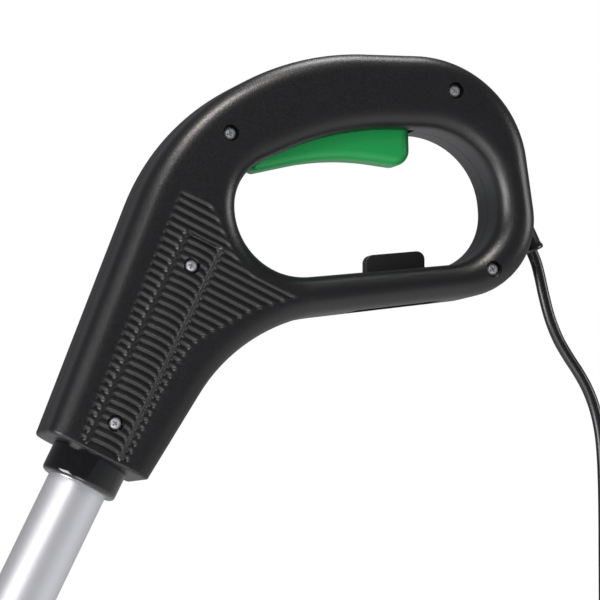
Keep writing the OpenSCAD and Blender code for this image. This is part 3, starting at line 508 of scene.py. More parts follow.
def rows(points: Iterable[Sequence[float]]) -> np.ndarray:
    """The points as the rows of an array."""
    return np.array([tuple(p) for p in points])


@dataclass
class Outline:
    """A closed outline of corners (x, z, radius), listed clockwise, in millimetres."""

    corners: list[tuple[float, float, float]]

    def corner(self, i: int) -> Vector:
        """The place of corner i."""
        return Vector(self.corners[i % len(self.corners)][:2])

    def edge(self, i: int) -> Vector:
        """The edge that ends at corner i."""
        return self.corner(i) - self.corner(i - 1)

    def turn(self, i: int) -> float:
        """How far the outline turns at corner i, in radians; negative at an outward corner."""
        a = self.edge(i).normalized()
        b = self.edge(i + 1).normalized()
        return math.atan2(a.x * b.y - a.y * b.x, a.dot(b))

    def tangent(self, i: int) -> float:
        """How far the arc of corner i reaches along its two edges."""
        return self.corners[i % len(self.corners)][2] * math.tan(abs(self.turn(i)) / 2)

    def inset(self, depth: float) -> "Outline":
        """Moves every edge inwards.

        Args:
            depth: how far, in millimetres; a negative one moves them outwards.

        Returns:
            The new outline.
        """
        out = []
        for i, (_, _, radius) in enumerate(self.corners):
            u = self.edge(i).normalized()
            v = self.edge(i + 1).normalized()
            p = self.corner(i) + depth * Vector((u.y, -u.x))
            q = self.corner(i) + depth * Vector((v.y, -v.x))
            w = q - p
            meet = p + u * ((w.x * v.y - w.y * v.x) / (u.x * v.y - u.y * v.x))
            out.append((meet.x, meet.y, max(0.4, radius + (-depth if self.turn(i) < 0 else depth))))
        return Outline(out)

    def points(self, step: float) -> list[Vector]:
        """Divides the outline, with its corners as arcs that are made smaller where two would meet.

        Args:
            step: the most that two neighbours are apart, in millimetres.

        Returns:
            The points in order.
        """
        line: list[Vector] = []
        for i in range(len(self.corners)):
            room = min(1.0, 0.999 * self.edge(i).length / (self.tangent(i) + self.tangent(i - 1)),
                       0.999 * self.edge(i + 1).length / (self.tangent(i) + self.tangent(i + 1)))
            radius = self.corners[i][2] * room
            angle = self.turn(i)
            u = self.edge(i).normalized()
            start = self.corner(i) - u * radius * math.tan(abs(angle) / 2)
            centre = start + radius * math.copysign(1.0, angle) * Vector((-u.y, u.x))
            count = max(2, math.ceil(abs(angle) * radius / step), math.ceil(abs(angle) / math.radians(12)))
            for k in range(count + 1):
                w = angle * k / count
                q = start - centre
                line.append(centre + Vector((q.x * math.cos(w) - q.y * math.sin(w),
                                             q.x * math.sin(w) + q.y * math.cos(w))))
        out: list[Vector] = []
        for i, p in enumerate(line):
            q = line[(i + 1) % len(line)]
            parts = max(1, math.ceil((q - p).length / step))
            out += [p.lerp(q, k / parts) for k in range(parts)]
        return out


def split_at(loop: list[Vector], places: Sequence[float], keep: Callable[[Vector], bool]) -> list[Vector]:
    """Adds a point to a loop wherever it crosses one of the x places.

    Args:
        loop: the closed loop's points.
        places: the x places in millimetres.
        keep: whether the side that starts at a point may be cut.

    Returns:
        The loop with its new points.
    """
    out = []
    for i, p in enumerate(loop):
        q = loop[(i + 1) % len(loop)]
        out.append(p)
        cuts = [(x - p.x) / (q.x - p.x) for x in places if min(p.x, q.x) < x < max(p.x, q.x) and keep(p)]
        out += [p.lerp(q, t) for t in sorted(cuts) if 0.02 < t < 0.98]
    return out


def even_loop(loop: list[Vector], step: float) -> list[Vector]:
    """Divides a closed loop's sides into even steps.

    Args:
        loop: the closed loop's points.
        step: about how long each step is, in millimetres.

    Returns:
        The points in order.
    """
    out = []
    for a, b in zip(loop, loop[1:] + loop[:1]):
        count = max(1, round((b - a).length / step))
        out += [a.lerp(b, k / count) for k in range(count)]
    return out


def distance(points: np.ndarray, loop: list[Vector]) -> np.ndarray:
    """The distance of each point from a closed loop.

    Args:
        points: the points, one in each row.
        loop: the closed loop's points.

    Returns:
        One distance for each row, in millimetres.
    """
    a = rows(loop)
    b = np.roll(a, -1, axis=0)
    best = np.full(len(points), 1e9)
    for p, q in zip(a, b):
        d = q - p
        t = np.clip(((points - p) @ d) / max(float(d @ d), 1e-9), 0, 1)
        best = np.minimum(best, np.hypot(*(points - p - t[:, None] * d).T))
    return best


def inside(points: np.ndarray, loop: list[Vector]) -> np.ndarray:
    """Whether each point is inside a closed loop.

    Args:
        points: the points, one in each row.
        loop: the closed loop's points.

    Returns:
        One truth value for each row.
    """
    hit = np.zeros(len(points), bool)
    for i, p in enumerate(loop):
        q = loop[(i + 1) % len(loop)]
        if p.y == q.y:
            continue
        spans = (p.y > points[:, 1]) != (q.y > points[:, 1])
        hit ^= spans & (points[:, 0] < (q.x - p.x) * (points[:, 1] - p.y) / (q.y - p.y) + p.x)
    return hit


def ease(x: np.ndarray, low: float, high: float) -> np.ndarray:
    """A smooth step from 0 at low to 1 at high."""
    t = np.clip((x - low) / (high - low), 0, 1)
    return t * t * (3 - 2 * t)


def triangulated(points: list[Vector],
                 lines: list[tuple[int, int]]) -> tuple[np.ndarray, list, np.ndarray, dict[int, int]]:
    """Triangulates points, keeping to the lines between them.

    Args:
        points: the points in millimetres.
        lines: pairs of indices of points that an edge joins.

    Returns:
        The points of the result, its faces, their middles, and where each given point is in the result.
    """
    made, _, faces, origin, _, _ = delaunay_2d_cdt(points, lines, [], 0, SNAP)
    flat = rows(made)
    middles = np.array([flat[list(f)].mean(axis=0) for f in faces])
    return flat, faces, middles, {source: i for i, sources in enumerate(origin) for source in sources}


# ---- rear handle ----

@dataclass
class RearHandle:
    """The two shells of the loop handle, with their ribs, screws and cord retainer."""

    grip_t: float = 31.7
    hand_w: float = 118.0
    hand_h: float = 56.0
    arm_t: float = 16.6
    bar_t: float = 17.0
    bar_fall: float = 12.0
    neck_reach: float = 59.0
    neck_drop: float = 74.0
    half_d: float = 22.0
    wall: float = 2.4
    edge_r: float = 8.3
    end_r: float = 1.2
    tube_angle: float = 64.0
    collar_r: float = 16.75
    screw_at: tuple[float, float] = (89.8, 15.4)
    recess_r: float = 3.6
    recess_y: float = 17.2
    rib_pitch: float = 3.6
    rib_depth: float = 1.0
    channel_half: float = 8.6
    channel_depth: float = 2.1
    channel_end: float = 103.0
    barrel_rise: float = 1.5
    rib_bow: float = 0.8
    pocket_half: float = 11.0
    slot_half: float = 9.4
    seam: float = 0.25
    pocket: tuple[float, float] = (-4.0, 34.0)
    trigger_len: float = 73.0
    edge_rings: tuple[float, ...] = (0.3, 0.9, 1.8, 3.0, 4.5, 6.2, 8.3)
    clear_end: float = 1.7
    face_step: float = 2.2

    def __post_init__(self) -> None:
        """Works out the places that follow from the sizes."""
        self.front = -self.hand_w / 2
        self.rear = self.hand_w / 2
        self.low = -self.grip_t / 2
        self.rear_low = self.low - self.hand_h
        self.front_low = self.rear_low - self.bar_fall
        angle = math.radians(self.tube_angle)
        self.along = Vector((math.cos(angle), math.sin(angle)))
        self.across = Vector((math.sin(angle), -math.cos(angle)))
        self.neck = Vector((self.front - self.neck_reach, self.front_low - self.neck_drop))
        self.neck_half = self.collar_r + 6.75
        self.bar_front = Vector((self.front + 3.8, self.front_low - self.bar_t))
        self.bar_rear = Vector((self.rear + self.arm_t + 2.9, self.rear_low - self.bar_t + 5.4))
        nose = self.front + 6.6
        self.trigger_slot = (nose - 1, nose + self.trigger_len + 1.8)

    def outline(self, past: float = 0.0, end_radius: float = 1.0) -> Outline:
        """The outer outline.

        Args:
            past: how far the neck runs on beyond its end, in millimetres.
            end_radius: the radius of the two corners at its end.

        Returns:
            The outline.
        """
        shoulder = Vector((self.front - 29.9, self.low - 2.1))
        neck_front = self.neck - self.neck_half * self.across
        neck_rear = self.neck + self.neck_half * self.across
        rear_end = neck_rear + past * (neck_rear - self.bar_front).normalized()
        front_end = neck_front + past * (neck_front - shoulder).normalized()
        return Outline([(shoulder.x, shoulder.y, 98), (self.front + 26, self.grip_t / 2, 112),
                        (self.rear + 5.5, self.grip_t / 2, 50), (self.bar_rear.x, self.bar_rear.y, 34),
                        (self.bar_front.x, self.bar_front.y, 75), (rear_end.x, rear_end.y, end_radius),
                        (front_end.x, front_end.y, end_radius)])

    def far_edge(self) -> list[Vector]:
        """The outer outline with a longer neck, whose open end is then no edge."""
        return self.outline(30.0).points(1.5)

    def opening(self) -> Outline:
        """The outline of the hand opening."""
        return Outline([(self.front + 46.2, self.low, 120), (self.rear - 3.6, self.low, 33),
                        (self.rear, self.rear_low, 24), (self.front, self.front_low, 30.5),
                        (self.front, self.low - 20.9, 22)])

    def screws(self) -> list[Vector]:
        """The middles of the five screws in the mid plane."""
        return [Vector((self.front - 3, self.low - 4.6)), Vector((self.rear - 21.8, self.low + 16.4)),
                Vector((self.rear - 5, self.rear_low - 4.3)),
                *(self.neck + s * self.along for s in self.screw_at)]

    def rib_field(self) -> list[Vector]:
        """The field that the ribs fill, a fixed margin inside the neck's edges."""
        end = self.neck + 1.2 * self.along
        corners = [(self.front - 25.5, self.low - 29), (self.front - 11.5, self.low - 34.5),
                   (self.front - 8, self.low - 41), (self.front - 0.8, self.low - 56.5),
                   (self.front + 7.5, self.low - 65), (self.front + 28, self.low - 74.6),
                   (self.front + 7.5, self.low - 80.4), (self.front - 12, self.low - 90.7),
                   (self.front - 19.5, self.low - 95.5), (self.front - 25.6, self.low - 104),
                   (self.front - 32, self.low - 115), (self.front - 43.5, self.low - 137.5)]
        return [Vector(c) for c in corners] + [end + 12 * self.across, end - 12 * self.across]

    def tube_places(self, points: np.ndarray) -> tuple[np.ndarray, np.ndarray]:
        """Each point's height along the tube and its offset across it."""
        offset = points - np.array(tuple(self.neck))
        return offset @ np.array(tuple(self.along)), offset @ np.array(tuple(self.across))

    def height(self, points: np.ndarray, with_screws: bool) -> np.ndarray:
        """How far the surface stands from the mid plane.

        Args:
            points: places in the mid plane, one in each row.
            with_screws: whether the screws' recesses are cut in.

        Returns:
            One height for each row, in millimetres.
        """
        edge = np.minimum(distance(points, self.far_edge()), distance(points, self.opening().points(1.5)))
        near = np.clip(self.edge_r - edge, 0, self.edge_r)
        out = self.half_d - self.edge_r + np.sqrt(self.edge_r ** 2 - near ** 2)
        s, q = self.tube_places(points)
        end = np.clip(self.end_r - s, 0, self.end_r)
        out -= self.end_r - np.sqrt(np.maximum(self.end_r ** 2 - end ** 2, 0))
        out -= self.relief(points, s, q)
        if with_screws:
            for c in self.screws():
                out = np.where(np.hypot(*(points - np.array(tuple(c))).T) < self.recess_r,
                               np.minimum(out, self.recess_y), out)
        return out

    def relief(self, points: np.ndarray, s: np.ndarray, q: np.ndarray) -> np.ndarray:
        """The depth of the ribs' grooves and of the channel with its raised middle.

        Args:
            points: places in the mid plane, one in each row.
            s: each place's height along the tube.
            q: each place's offset across it.

        Returns:
            One depth for each row, in millimetres.
        """
        rib_field = self.rib_field()
        depth_in = np.where(inside(points, rib_field), distance(points, rib_field), 0)
        near_end = ease(12.0 - np.abs(q), 0.0, 1.8) * ease(s, 0.9, 2.9)
        field_mask = np.where(s < 4.0, near_end, ease(depth_in, 0.0, 2.0)) * (depth_in > 0)
        phase = 2 * math.pi * (s - self.bow(s, q)) / self.rib_pitch
        groove = self.rib_depth * (0.5 + 0.5 * np.cos(phase)) ** 1.3
        in_channel = ease(self.channel_half - np.abs(q), 0.0, 1.5) * ease(self.channel_end - s, 0.0, 1.5)
        border = ease(np.abs(np.abs(q) - self.channel_half + 0.75), 0.6, 2.3)
        border = np.where(s < self.channel_end, border, 1.0)
        crown = np.sqrt(np.clip(1 - (q / self.channel_half) ** 2, 0, 1))
        barrel = self.channel_depth - self.barrel_rise * crown
        return field_mask * (groove * border + in_channel * barrel)

    def half(self, name: str, with_screws: bool) -> bpy.types.Object:
        """Makes one shell half on the -Y side.

        Args:
            name: the piece's name.
            with_screws: whether it has the screws' recesses.

        Returns:
            The shell as a closed wall of even thickness.
        """
        outer = split_at(self.outline(end_radius=2.4).points(self.face_step), self.pocket,
                         lambda p: p.y < self.front_low + 12)
        hole = split_at(self.opening().points(self.face_step), (*self.pocket, *self.trigger_slot),
                        lambda p: True)
        loops = ((outer, 1, 0), (hole, -1, len(outer)))
        edges = [(start + i, start + (i + 1) % len(loop)) for loop, _, start in loops
                 for i in range(len(loop))]
        loose, lines = self.inner_points(outer, hole, with_screws)
        first = len(outer) + len(hole)
        edges += [(a + first, b + first) for a, b in lines]
        flat, faces, middles, back = triangulated([*outer, *hole, *(Vector(p) for p in loose)], edges)
        keep = inside(middles, outer) & ~inside(middles, hole)
        points = [(p[0], -h, p[1]) for p, h in zip(flat, self.height(flat, with_screws))]
        skin = [tuple(f) for f, k in zip(faces, keep) if k]
        for loop, sign, start in loops:
            self.add_wall(points, skin, loop, [back[start + i] for i in range(len(loop))], sign)
        piece = from_faces(name, points, skin, SOFT_ANGLE, FINE_MERGE)
        thick = piece.modifiers.new("wall", "SOLIDIFY")
        thick.thickness = self.wall * MM
        thick.offset = -1.0
        thick.use_even_offset = False
        return flattened(piece)

    def add_wall(self, points: list, skin: list, loop: list[Vector], top: list[int], sign: int) -> None:
        """Adds the wall from a loop's edge down to the mid plane, leaving out the slots.

        Args:
            points: the shell's points, added to.
            skin: the shell's faces, added to.
            loop: the loop's points.
            top: the index of each loop point on the face.
            sign: 1 on the outer loop, -1 round the hand opening.
        """
        levels = (-self.pocket_half, -self.slot_half, -1.0, -self.seam, 0.0)
        rings = [top]
        for level in levels:
            ring = []
            for i, p in enumerate(loop):
                t = (loop[(i + 1) % len(loop)] - loop[i - 1]).normalized()
                pull = self.seam if level == 0.0 else 0.0
                inward = sign * pull * Vector((t.y, -t.x))
                ring.append(len(points))
                points.append((p.x + inward.x, level, p.y + inward.y))
            rings.append(ring)
        for r in range(len(levels)):
            for i, p in enumerate(loop):
                j = (i + 1) % len(loop)
                middle = (p + loop[j]) / 2
                if r > 0 and self.is_slot(middle, levels[r - 1]):
                    continue
                skin.append((rings[r][i], rings[r][j], rings[r + 1][j], rings[r + 1][i]))

    def is_slot(self, p: Vector, level: float) -> bool:
        """Whether a wall face is cut away by the retainer's slots or the trigger's.

        Args:
            p: the face's middle in the mid plane.
            level: the height of its outer edge from the mid plane, which is negative on this side.

        Returns:
            Whether the face is left out.
        """
        in_pocket = self.pocket[0] < p.x < self.pocket[1] and p.y < self.rear_low
        under = p.y > self.front_low - self.bar_t - 6
        in_trigger = self.trigger_slot[0] < p.x < self.trigger_slot[1] and self.low - 24 < p.y < self.low + 2
        is_retainer = in_pocket and under and level >= -self.pocket_half
        return is_retainer or (in_trigger and level >= -self.slot_half)

    def inner_points(self, outer: list[Vector], hole: list[Vector],
                     with_screws: bool) -> tuple[np.ndarray, list[tuple[int, int]]]:
        """Points inside the outline, and the lines between them that the faces keep to.

        Args:
            outer: the outer edge's points.
            hole: the hand opening's points.
            with_screws: whether the half has the screws' recesses.

        Returns:
            The points, and pairs of their indices: rings that round the edges, the border of the ribs' field
            and the recesses' circles. The ribs' lattice, rows at the neck's end and a plain grid are loose.
        """
        far_outer, rib_field = self.far_edge(), self.rib_field()
        points, lines = [], []

        def add(line: Sequence[Vector], keep: np.ndarray) -> None:
            """Adds the kept points of a closed line, joined where neighbours are kept."""
            at = {int(i): len(points) + k for k, i in enumerate(np.flatnonzero(keep))}
            points.extend(tuple(line[i]) for i in at)
            lines.extend((at[i], at[(i + 1) % len(line)]) for i in at if (i + 1) % len(line) in at)

        def clear(flat: np.ndarray) -> np.ndarray:
            """Whether each point is clear of the screws' recesses."""
            gaps = [np.hypot(*(flat - np.array(tuple(c))).T) for c in self.screws()] if with_screws else []
            return np.all(np.array(gaps) > self.recess_r + 0.6, axis=0) if gaps else np.ones(len(flat), bool)

        for depth in self.edge_rings:
            for ring in (self.outline(14.0).inset(depth), self.opening().inset(-depth)):
                line = ring.points(self.face_step)
                flat = rows(line)
                edge = np.minimum(distance(flat, far_outer), distance(flat, hole))
                keep = inside(flat, outer) & ~inside(flat, hole) & (edge > depth - 0.07) & clear(flat)
                keep &= (self.tube_places(flat)[0] > self.clear_end) & ~inside(flat, rib_field)
                add(line, keep)
        border = even_loop(rib_field, 1.2)
        flat = rows(border)
        add(border, (self.tube_places(flat)[0] > self.clear_end) & clear(flat))
        if with_screws:
            for c in self.screws():
                for r in (self.recess_r + 0.25, self.recess_r + 0.02, self.recess_r - 0.04,
                          self.recess_r / 2):
                    turns = [2 * math.pi * k / 32 for k in range(32)]
                    add([c + r * Vector((math.cos(t), math.sin(t))) for t in turns],
                        np.ones(len(turns), bool))
        loose = np.vstack([self.plain_grid(outer, hole, rib_field), self.neck_rows(),
                           self.lattice(rib_field)])
        return np.vstack([np.array(points), loose[clear(loose)]]), lines

    def neck_rows(self) -> np.ndarray:
        """Rows of points that round the neck's end."""
        return rows(self.neck + h * self.along + float(q) * self.across
                    for h in (0.3, 0.7, 1.2) for q in np.arange(-22.4, 22.5, 1.6))

    def plain_grid(self, outer: list[Vector], hole: list[Vector], rib_field: list[Vector]) -> np.ndarray:
        """A coarse grid of points on the flat parts of the face.

        Args:
            outer: the outer edge's points.
            hole: the hand opening's points.
            rib_field: the ribs' field, which the grid keeps out of.

        Returns:
            The points, one in each row.
        """
        step = np.arange(-120.0, 120.0, 5.0)
        grid = np.array([(x, z) for x in step - 20 for z in step - 50])
        far = np.minimum(distance(grid, outer), distance(grid, hole))
        keep = inside(grid, outer) & ~inside(grid, hole) & (far > self.edge_r + 1.5)
        keep &= ~inside(grid, rib_field)
        return grid[keep & (distance(grid, rib_field) > 1.5)]

    def lattice(self, rib_field: list[Vector]) -> np.ndarray:
        """Points in rows along the ribs, with columns at the channel's walls.

        Args:
            rib_field: the ribs' field, which the points stay inside.

        Returns:
            The points, one in each row.
        """
        side = np.concatenate([[7.1, 7.6, 8.1, 8.6, 9.2], np.arange(10.2, 73.0, 1.05)])
        across = np.concatenate([side, -side[side < 30], np.arange(-6.3, 6.4, 1.05)])
        heights = np.arange(2.0, 118.0, self.rib_pitch / 8)
        points = rows(self.rib_point(float(s), float(q)) for s in heights for q in across)
        return points[inside(points, rib_field) & (distance(points, rib_field) > 0.4)
                      & (self.tube_places(points)[0] > self.clear_end)]

    def bow(self, s: np.ndarray | float, q: np.ndarray | float) -> np.ndarray | float:
        """How far a groove bows up the tube at a place in the channel."""
        fade = np.clip((self.channel_end - s) / 6.0, 0, 1)
        return self.rib_bow * fade * np.clip(1 - (q / self.channel_half) ** 2, 0, 1)

    def rib_point(self, s: float, q: float) -> Vector:
        """The place on a groove's line at an offset across it."""
        return self.neck + (s + float(self.bow(s, q))) * self.along + q * self.across

    def build(self) -> None:
        """Makes both shells, the cord hook and the tube's collar; the screws are made with the trigger."""
        left = self.half("handle_left_shell", True)
        dress(left, HANDLE, "frame", "handle_shell_left")
        right = self.half("handle_right_shell", False)
        right.data.transform(Matrix.Scale(-1, 4, (0, 1, 0)))
        tidy(right.data, SOFT_ANGLE, FINE_MERGE)
        dress(right, HANDLE, "frame", "handle_shell_right")
        for shell in (left, right):
            LOG.info("%s has %d faces", shell.name, len(shell.data.polygons))
        dress(refined("cord_hook", 0.9, 3), HANDLE, "frame", "cord_hook")
        r = self.collar_r
        profile = [(0.1, -13), (r - 2.2, -13), (r - 1.2, -12.8), (r - 0.45, -12.3), (r - 0.08, -11.5),
                   (r, -10.6),
                   (r, 2.5), (r + 2, 3), (r + 2, 6), (r, 6.2), (r, 9), (0.1, 9)]
        collar = lathe("collar_turned", profile, tilted((self.neck.x, 0, self.neck.y), 90 - self.tube_angle),
                       96)
        dress(collar, COLLAR, "frame", "tube_collar")


# ---- repeated pieces ----

def boolean(piece: bpy.types.Object, tool: bpy.types.Object,
            operation: str = "DIFFERENCE") -> bpy.types.Object:
    """Cuts a piece with a tool, or joins them.

    Args:
        piece: the piece.
        tool: the other object, which is removed.
        operation: the modifier's operation.

    Returns:
        The piece as a plain mesh.
    """
    cut = piece.modifiers.new("cut", "BOOLEAN")
    cut.object = tool
    cut.operation = operation
    cut.solver = "EXACT"
    made = flattened(piece)
    bpy.data.objects.remove(tool)
    return made


def box_piece(name: str, low: Sequence[float], high: Sequence[float],
              frame: Matrix | None = None) -> bpy.types.Object:
    """Makes a plain box.

    Args:
        name: the box's name.
        low: its lowest corner in millimetres.
        high: its highest corner in millimetres.
        frame: places it; its translation is in millimetres.

    Returns:
        The new object.
    """
    place = frame or Matrix.Identity(4)
    corners = [place @ Vector((x, y, z)) for x in (low[0], high[0]) for y in (low[1], high[1])
               for z in (low[2], high[2])]
    return from_faces(name, corners,
                      [(0, 1, 3, 2), (4, 6, 7, 5), (0, 4, 5, 1), (2, 3, 7, 6), (0, 2, 6, 4), (1, 5, 7, 3)])


def pillow(name: str, outline: Outline, half: float, edge_r: float) -> bpy.types.Object:
    """Makes a plate in the mid plane with fully rounded edges.

    Args:
        name: the piece's name.
        outline: the plate's outline.
        half: half its thickness in millimetres.
        edge_r: the radius of its edges in millimetres.

    Returns:
        The new object.
    """
    loop = outline.points(1.2)
    points, lines = list(loop), [(i, (i + 1) % len(loop)) for i in range(len(loop))]
    for depth in (0.04, 0.1, 0.22, 0.4, 0.62, 0.86, 1.0):
        ring = outline.inset(depth * edge_r).points(1.2)
        flat = rows(ring)
        keep = inside(flat, loop) & (distance(flat, loop) > depth * edge_r - 0.03)
        at = {i: len(points) + k for k, i in enumerate(np.flatnonzero(keep))}
        points += [ring[i] for i in at]
        lines += [(at[i], at[(i + 1) % len(ring)]) for i in at if (i + 1) % len(ring) in at]
    flat, faces, middles, back = triangulated(points, lines)
    short = np.clip(edge_r - distance(flat, loop), 0, edge_r)
    y = half - edge_r + np.sqrt(edge_r ** 2 - short ** 2)
    n = len(flat)
    skin = [tuple(f) for f, k in zip(faces, inside(middles, loop)) if k]
    skin += [tuple(i + n for i in f) for f in skin]
    rim = [back[i] for i in range(len(loop))]
    skin += [(a, b, b + n, a + n) for a, b in zip(rim, rim[1:] + rim[:1])]
    sides = [(p[0], side * h, p[1]) for side in (-1, 1) for p, h in zip(flat, y)]
    return from_faces(name, sides, skin, SOFT_ANGLE)


def repeat_tree() -> bpy.types.NodeTree:
    """The Geometry Nodes group that sets a unit on each point, with the point's own turn and one size for
    all.
    """
    if "repeat_unit" in bpy.data.node_groups:
        return bpy.data.node_groups["repeat_unit"]
    tree = bpy.data.node_groups.new("repeat_unit", "GeometryNodeTree")
    face = tree.interface
    face.new_socket("Places", in_out="INPUT", socket_type="NodeSocketGeometry")
    face.new_socket("Unit", in_out="INPUT", socket_type="NodeSocketObject")
    face.new_socket("Size", in_out="INPUT", socket_type="NodeSocketFloat").default_value = 1.0
    face.new_socket("Material", in_out="INPUT", socket_type="NodeSocketMaterial")
    face.new_socket("Pieces", in_out="OUTPUT", socket_type="NodeSocketGeometry")
    nodes, link = tree.nodes, tree.links.new
    given, out = nodes.new("NodeGroupInput"), nodes.new("NodeGroupOutput")
    unit, spread = nodes.new("GeometryNodeObjectInfo"), nodes.new("GeometryNodeInstanceOnPoints")
    turn, grow = nodes.new("GeometryNodeInputNamedAttribute"), nodes.new("ShaderNodeCombineXYZ")
    real, paint = nodes.new("GeometryNodeRealizeInstances"), nodes.new("GeometryNodeSetMaterial")
    turn.data_type = "FLOAT_VECTOR"
    turn.inputs["Name"].default_value = "turn"
    link(given.outputs["Places"], spread.inputs["Points"])
    link(given.outputs["Unit"], unit.inputs["Object"])
    link(unit.outputs["Geometry"], spread.inputs["Instance"])
    link(turn.outputs["Attribute"], spread.inputs["Rotation"])
    for axis in range(3):
        link(given.outputs["Size"], grow.inputs[axis])
    link(grow.outputs["Vector"], spread.inputs["Scale"])
    link(spread.outputs["Instances"], real.inputs["Geometry"])
    link(real.outputs["Geometry"], paint.inputs["Geometry"])
    link(given.outputs["Material"], paint.inputs["Material"])
    link(paint.outputs["Geometry"], out.inputs["Pieces"])
    return tree


def repeated(name: str, unit: bpy.types.Object, places: Sequence[Matrix], finish: Finish,
             size: float = 1.0) -> bpy.types.Object:
    """Sets copies of a unit at places through Geometry Nodes.

    Args:
        name: the piece's name.
        unit: the object that is repeated; it is removed afterwards.
        places: where each copy goes; translations are in millimetres.
        finish: the copies' finish.
        size: the size of every copy.

    Returns:
        One plain mesh with all the copies.
    """
    mesh = bpy.data.meshes.new(name)
    mesh.from_pydata([tuple(p.to_translation() * MM) for p in places], [], [])
    turns = mesh.attributes.new("turn", "FLOAT_VECTOR", "POINT")
    for entry, place in zip(turns.data, places):
        entry.vector = tuple(place.to_euler("XYZ"))
    points = new_object(name + "_places", mesh)
    tree = repeat_tree()
    spread = points.modifiers.new("repeat", "NODES")
    spread.node_group = tree
    keys = {item.name: item.identifier for item in tree.interface.items_tree if item.in_out == "INPUT"}
    spread[keys["Unit"]] = unit
    spread[keys["Size"]] = size
    spread[keys["Material"]] = finish.material()
    graph = bpy.context.evaluated_depsgraph_get()
    made = bpy.data.meshes.new_from_object(points.evaluated_get(graph))
    points.modifiers.clear()
    bpy.data.objects.remove(points)
    bpy.data.objects.remove(unit)
    return new_object(name, made)


def screw_unit(head_r: float, head_h: float, shank_r: float, length: float) -> bpy.types.Object:
    """Makes a pan head screw with a cross recess, its head outwards along Z from its seat at the origin.

    Args:
        head_r: the head's radius in millimetres.
        head_h: the head's height in millimetres.
        shank_r: the shank's radius in millimetres.
        length: the shank's length in millimetres.

    Returns:
        The new object.
    """
    dome = ((0.3, 0.985), (0.58, 0.92), (0.8, 0.8), (0.94, 0.6), (1.0, 0.3), (1.0, 0.0))
    head = [(0.02, head_h), *((head_r * a, head_h * b) for a, b in dome), (shank_r, 0.0),
            (shank_r, 0.8 - length),
            (shank_r * 0.3, -length), (0.02, -length)]
    unit = lathe("screw_unit", head, Matrix.Identity(4), 40)
    for turn in (0.0, math.pi / 2):
        corners = [Matrix.Rotation(turn, 3, "Z") @ Vector((x * head_r * wide, y * head_r * thick, z))
                   for wide, thick, z in ((0.62, 0.15, head_h + 0.5), (0.18, 0.11, head_h * 0.12))
                   for x, y in ((-1, -1), (1, -1), (1, 1), (-1, 1))]
        sides = [(3, 2, 1, 0), (4, 5, 6, 7), (0, 1, 5, 4), (1, 2, 6, 5), (2, 3, 7, 6), (3, 0, 4, 7)]
        unit = boolean(unit, from_faces("blade", corners, sides))
    tidy(unit.data, smooth_deg=28.0, merge=0.002)
    return unit


def facing(places: Sequence[Vector], turn: Matrix, spins: Sequence[float]) -> list[Matrix]:
    """Frames at places, their Z axis turned the same way, each spun about it by its own angle in degrees."""
    return [Matrix.Translation(p) @ turn @ Matrix.Rotation(math.radians(a), 4, "Z") for p,
            a in zip(places, spins)]


# ---- the other sub-assemblies ----

@dataclass
class HandleFixings:
    """The screws of the rear handle and the trigger."""

    handle: RearHandle
    head_r: float = 2.8
    head_h: float = 2.2
    shank_r: float = 1.6
    spins: tuple[float, ...] = (18.0, 52.0, 31.0, 66.0, 40.0)
    trigger_half: float = 9.0
    trigger_round: float = 4.2

    def build(self) -> None:
        """Makes the screws and the trigger."""
        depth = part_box("handle_screws")[1][1] / MM
        seats = [Vector((c.x, -self.handle.recess_y, c.y)) for c in self.handle.screws()]
        unit = screw_unit(self.head_r, self.head_h, self.shank_r, self.handle.recess_y + depth)
        screws = repeated("handle_screw_set", unit, facing(seats, QUARTER_TURN, self.spins), ZINC)
        dress(screws, ZINC, "frame", "handle_screws")
        outline = Outline([(20.2, -12.1, 1), (20.6, -31.85, 6.5), (-14, -27.55, 110), (-49.6, -35.8, 2.6),
                           (-51.0, -17.5, 5), (-40, -12.1, 10)])
        dress(pillow("trigger_finger_piece", outline, self.trigger_half, self.trigger_round), TRIGGER,
              "trigger",
              "trigger")


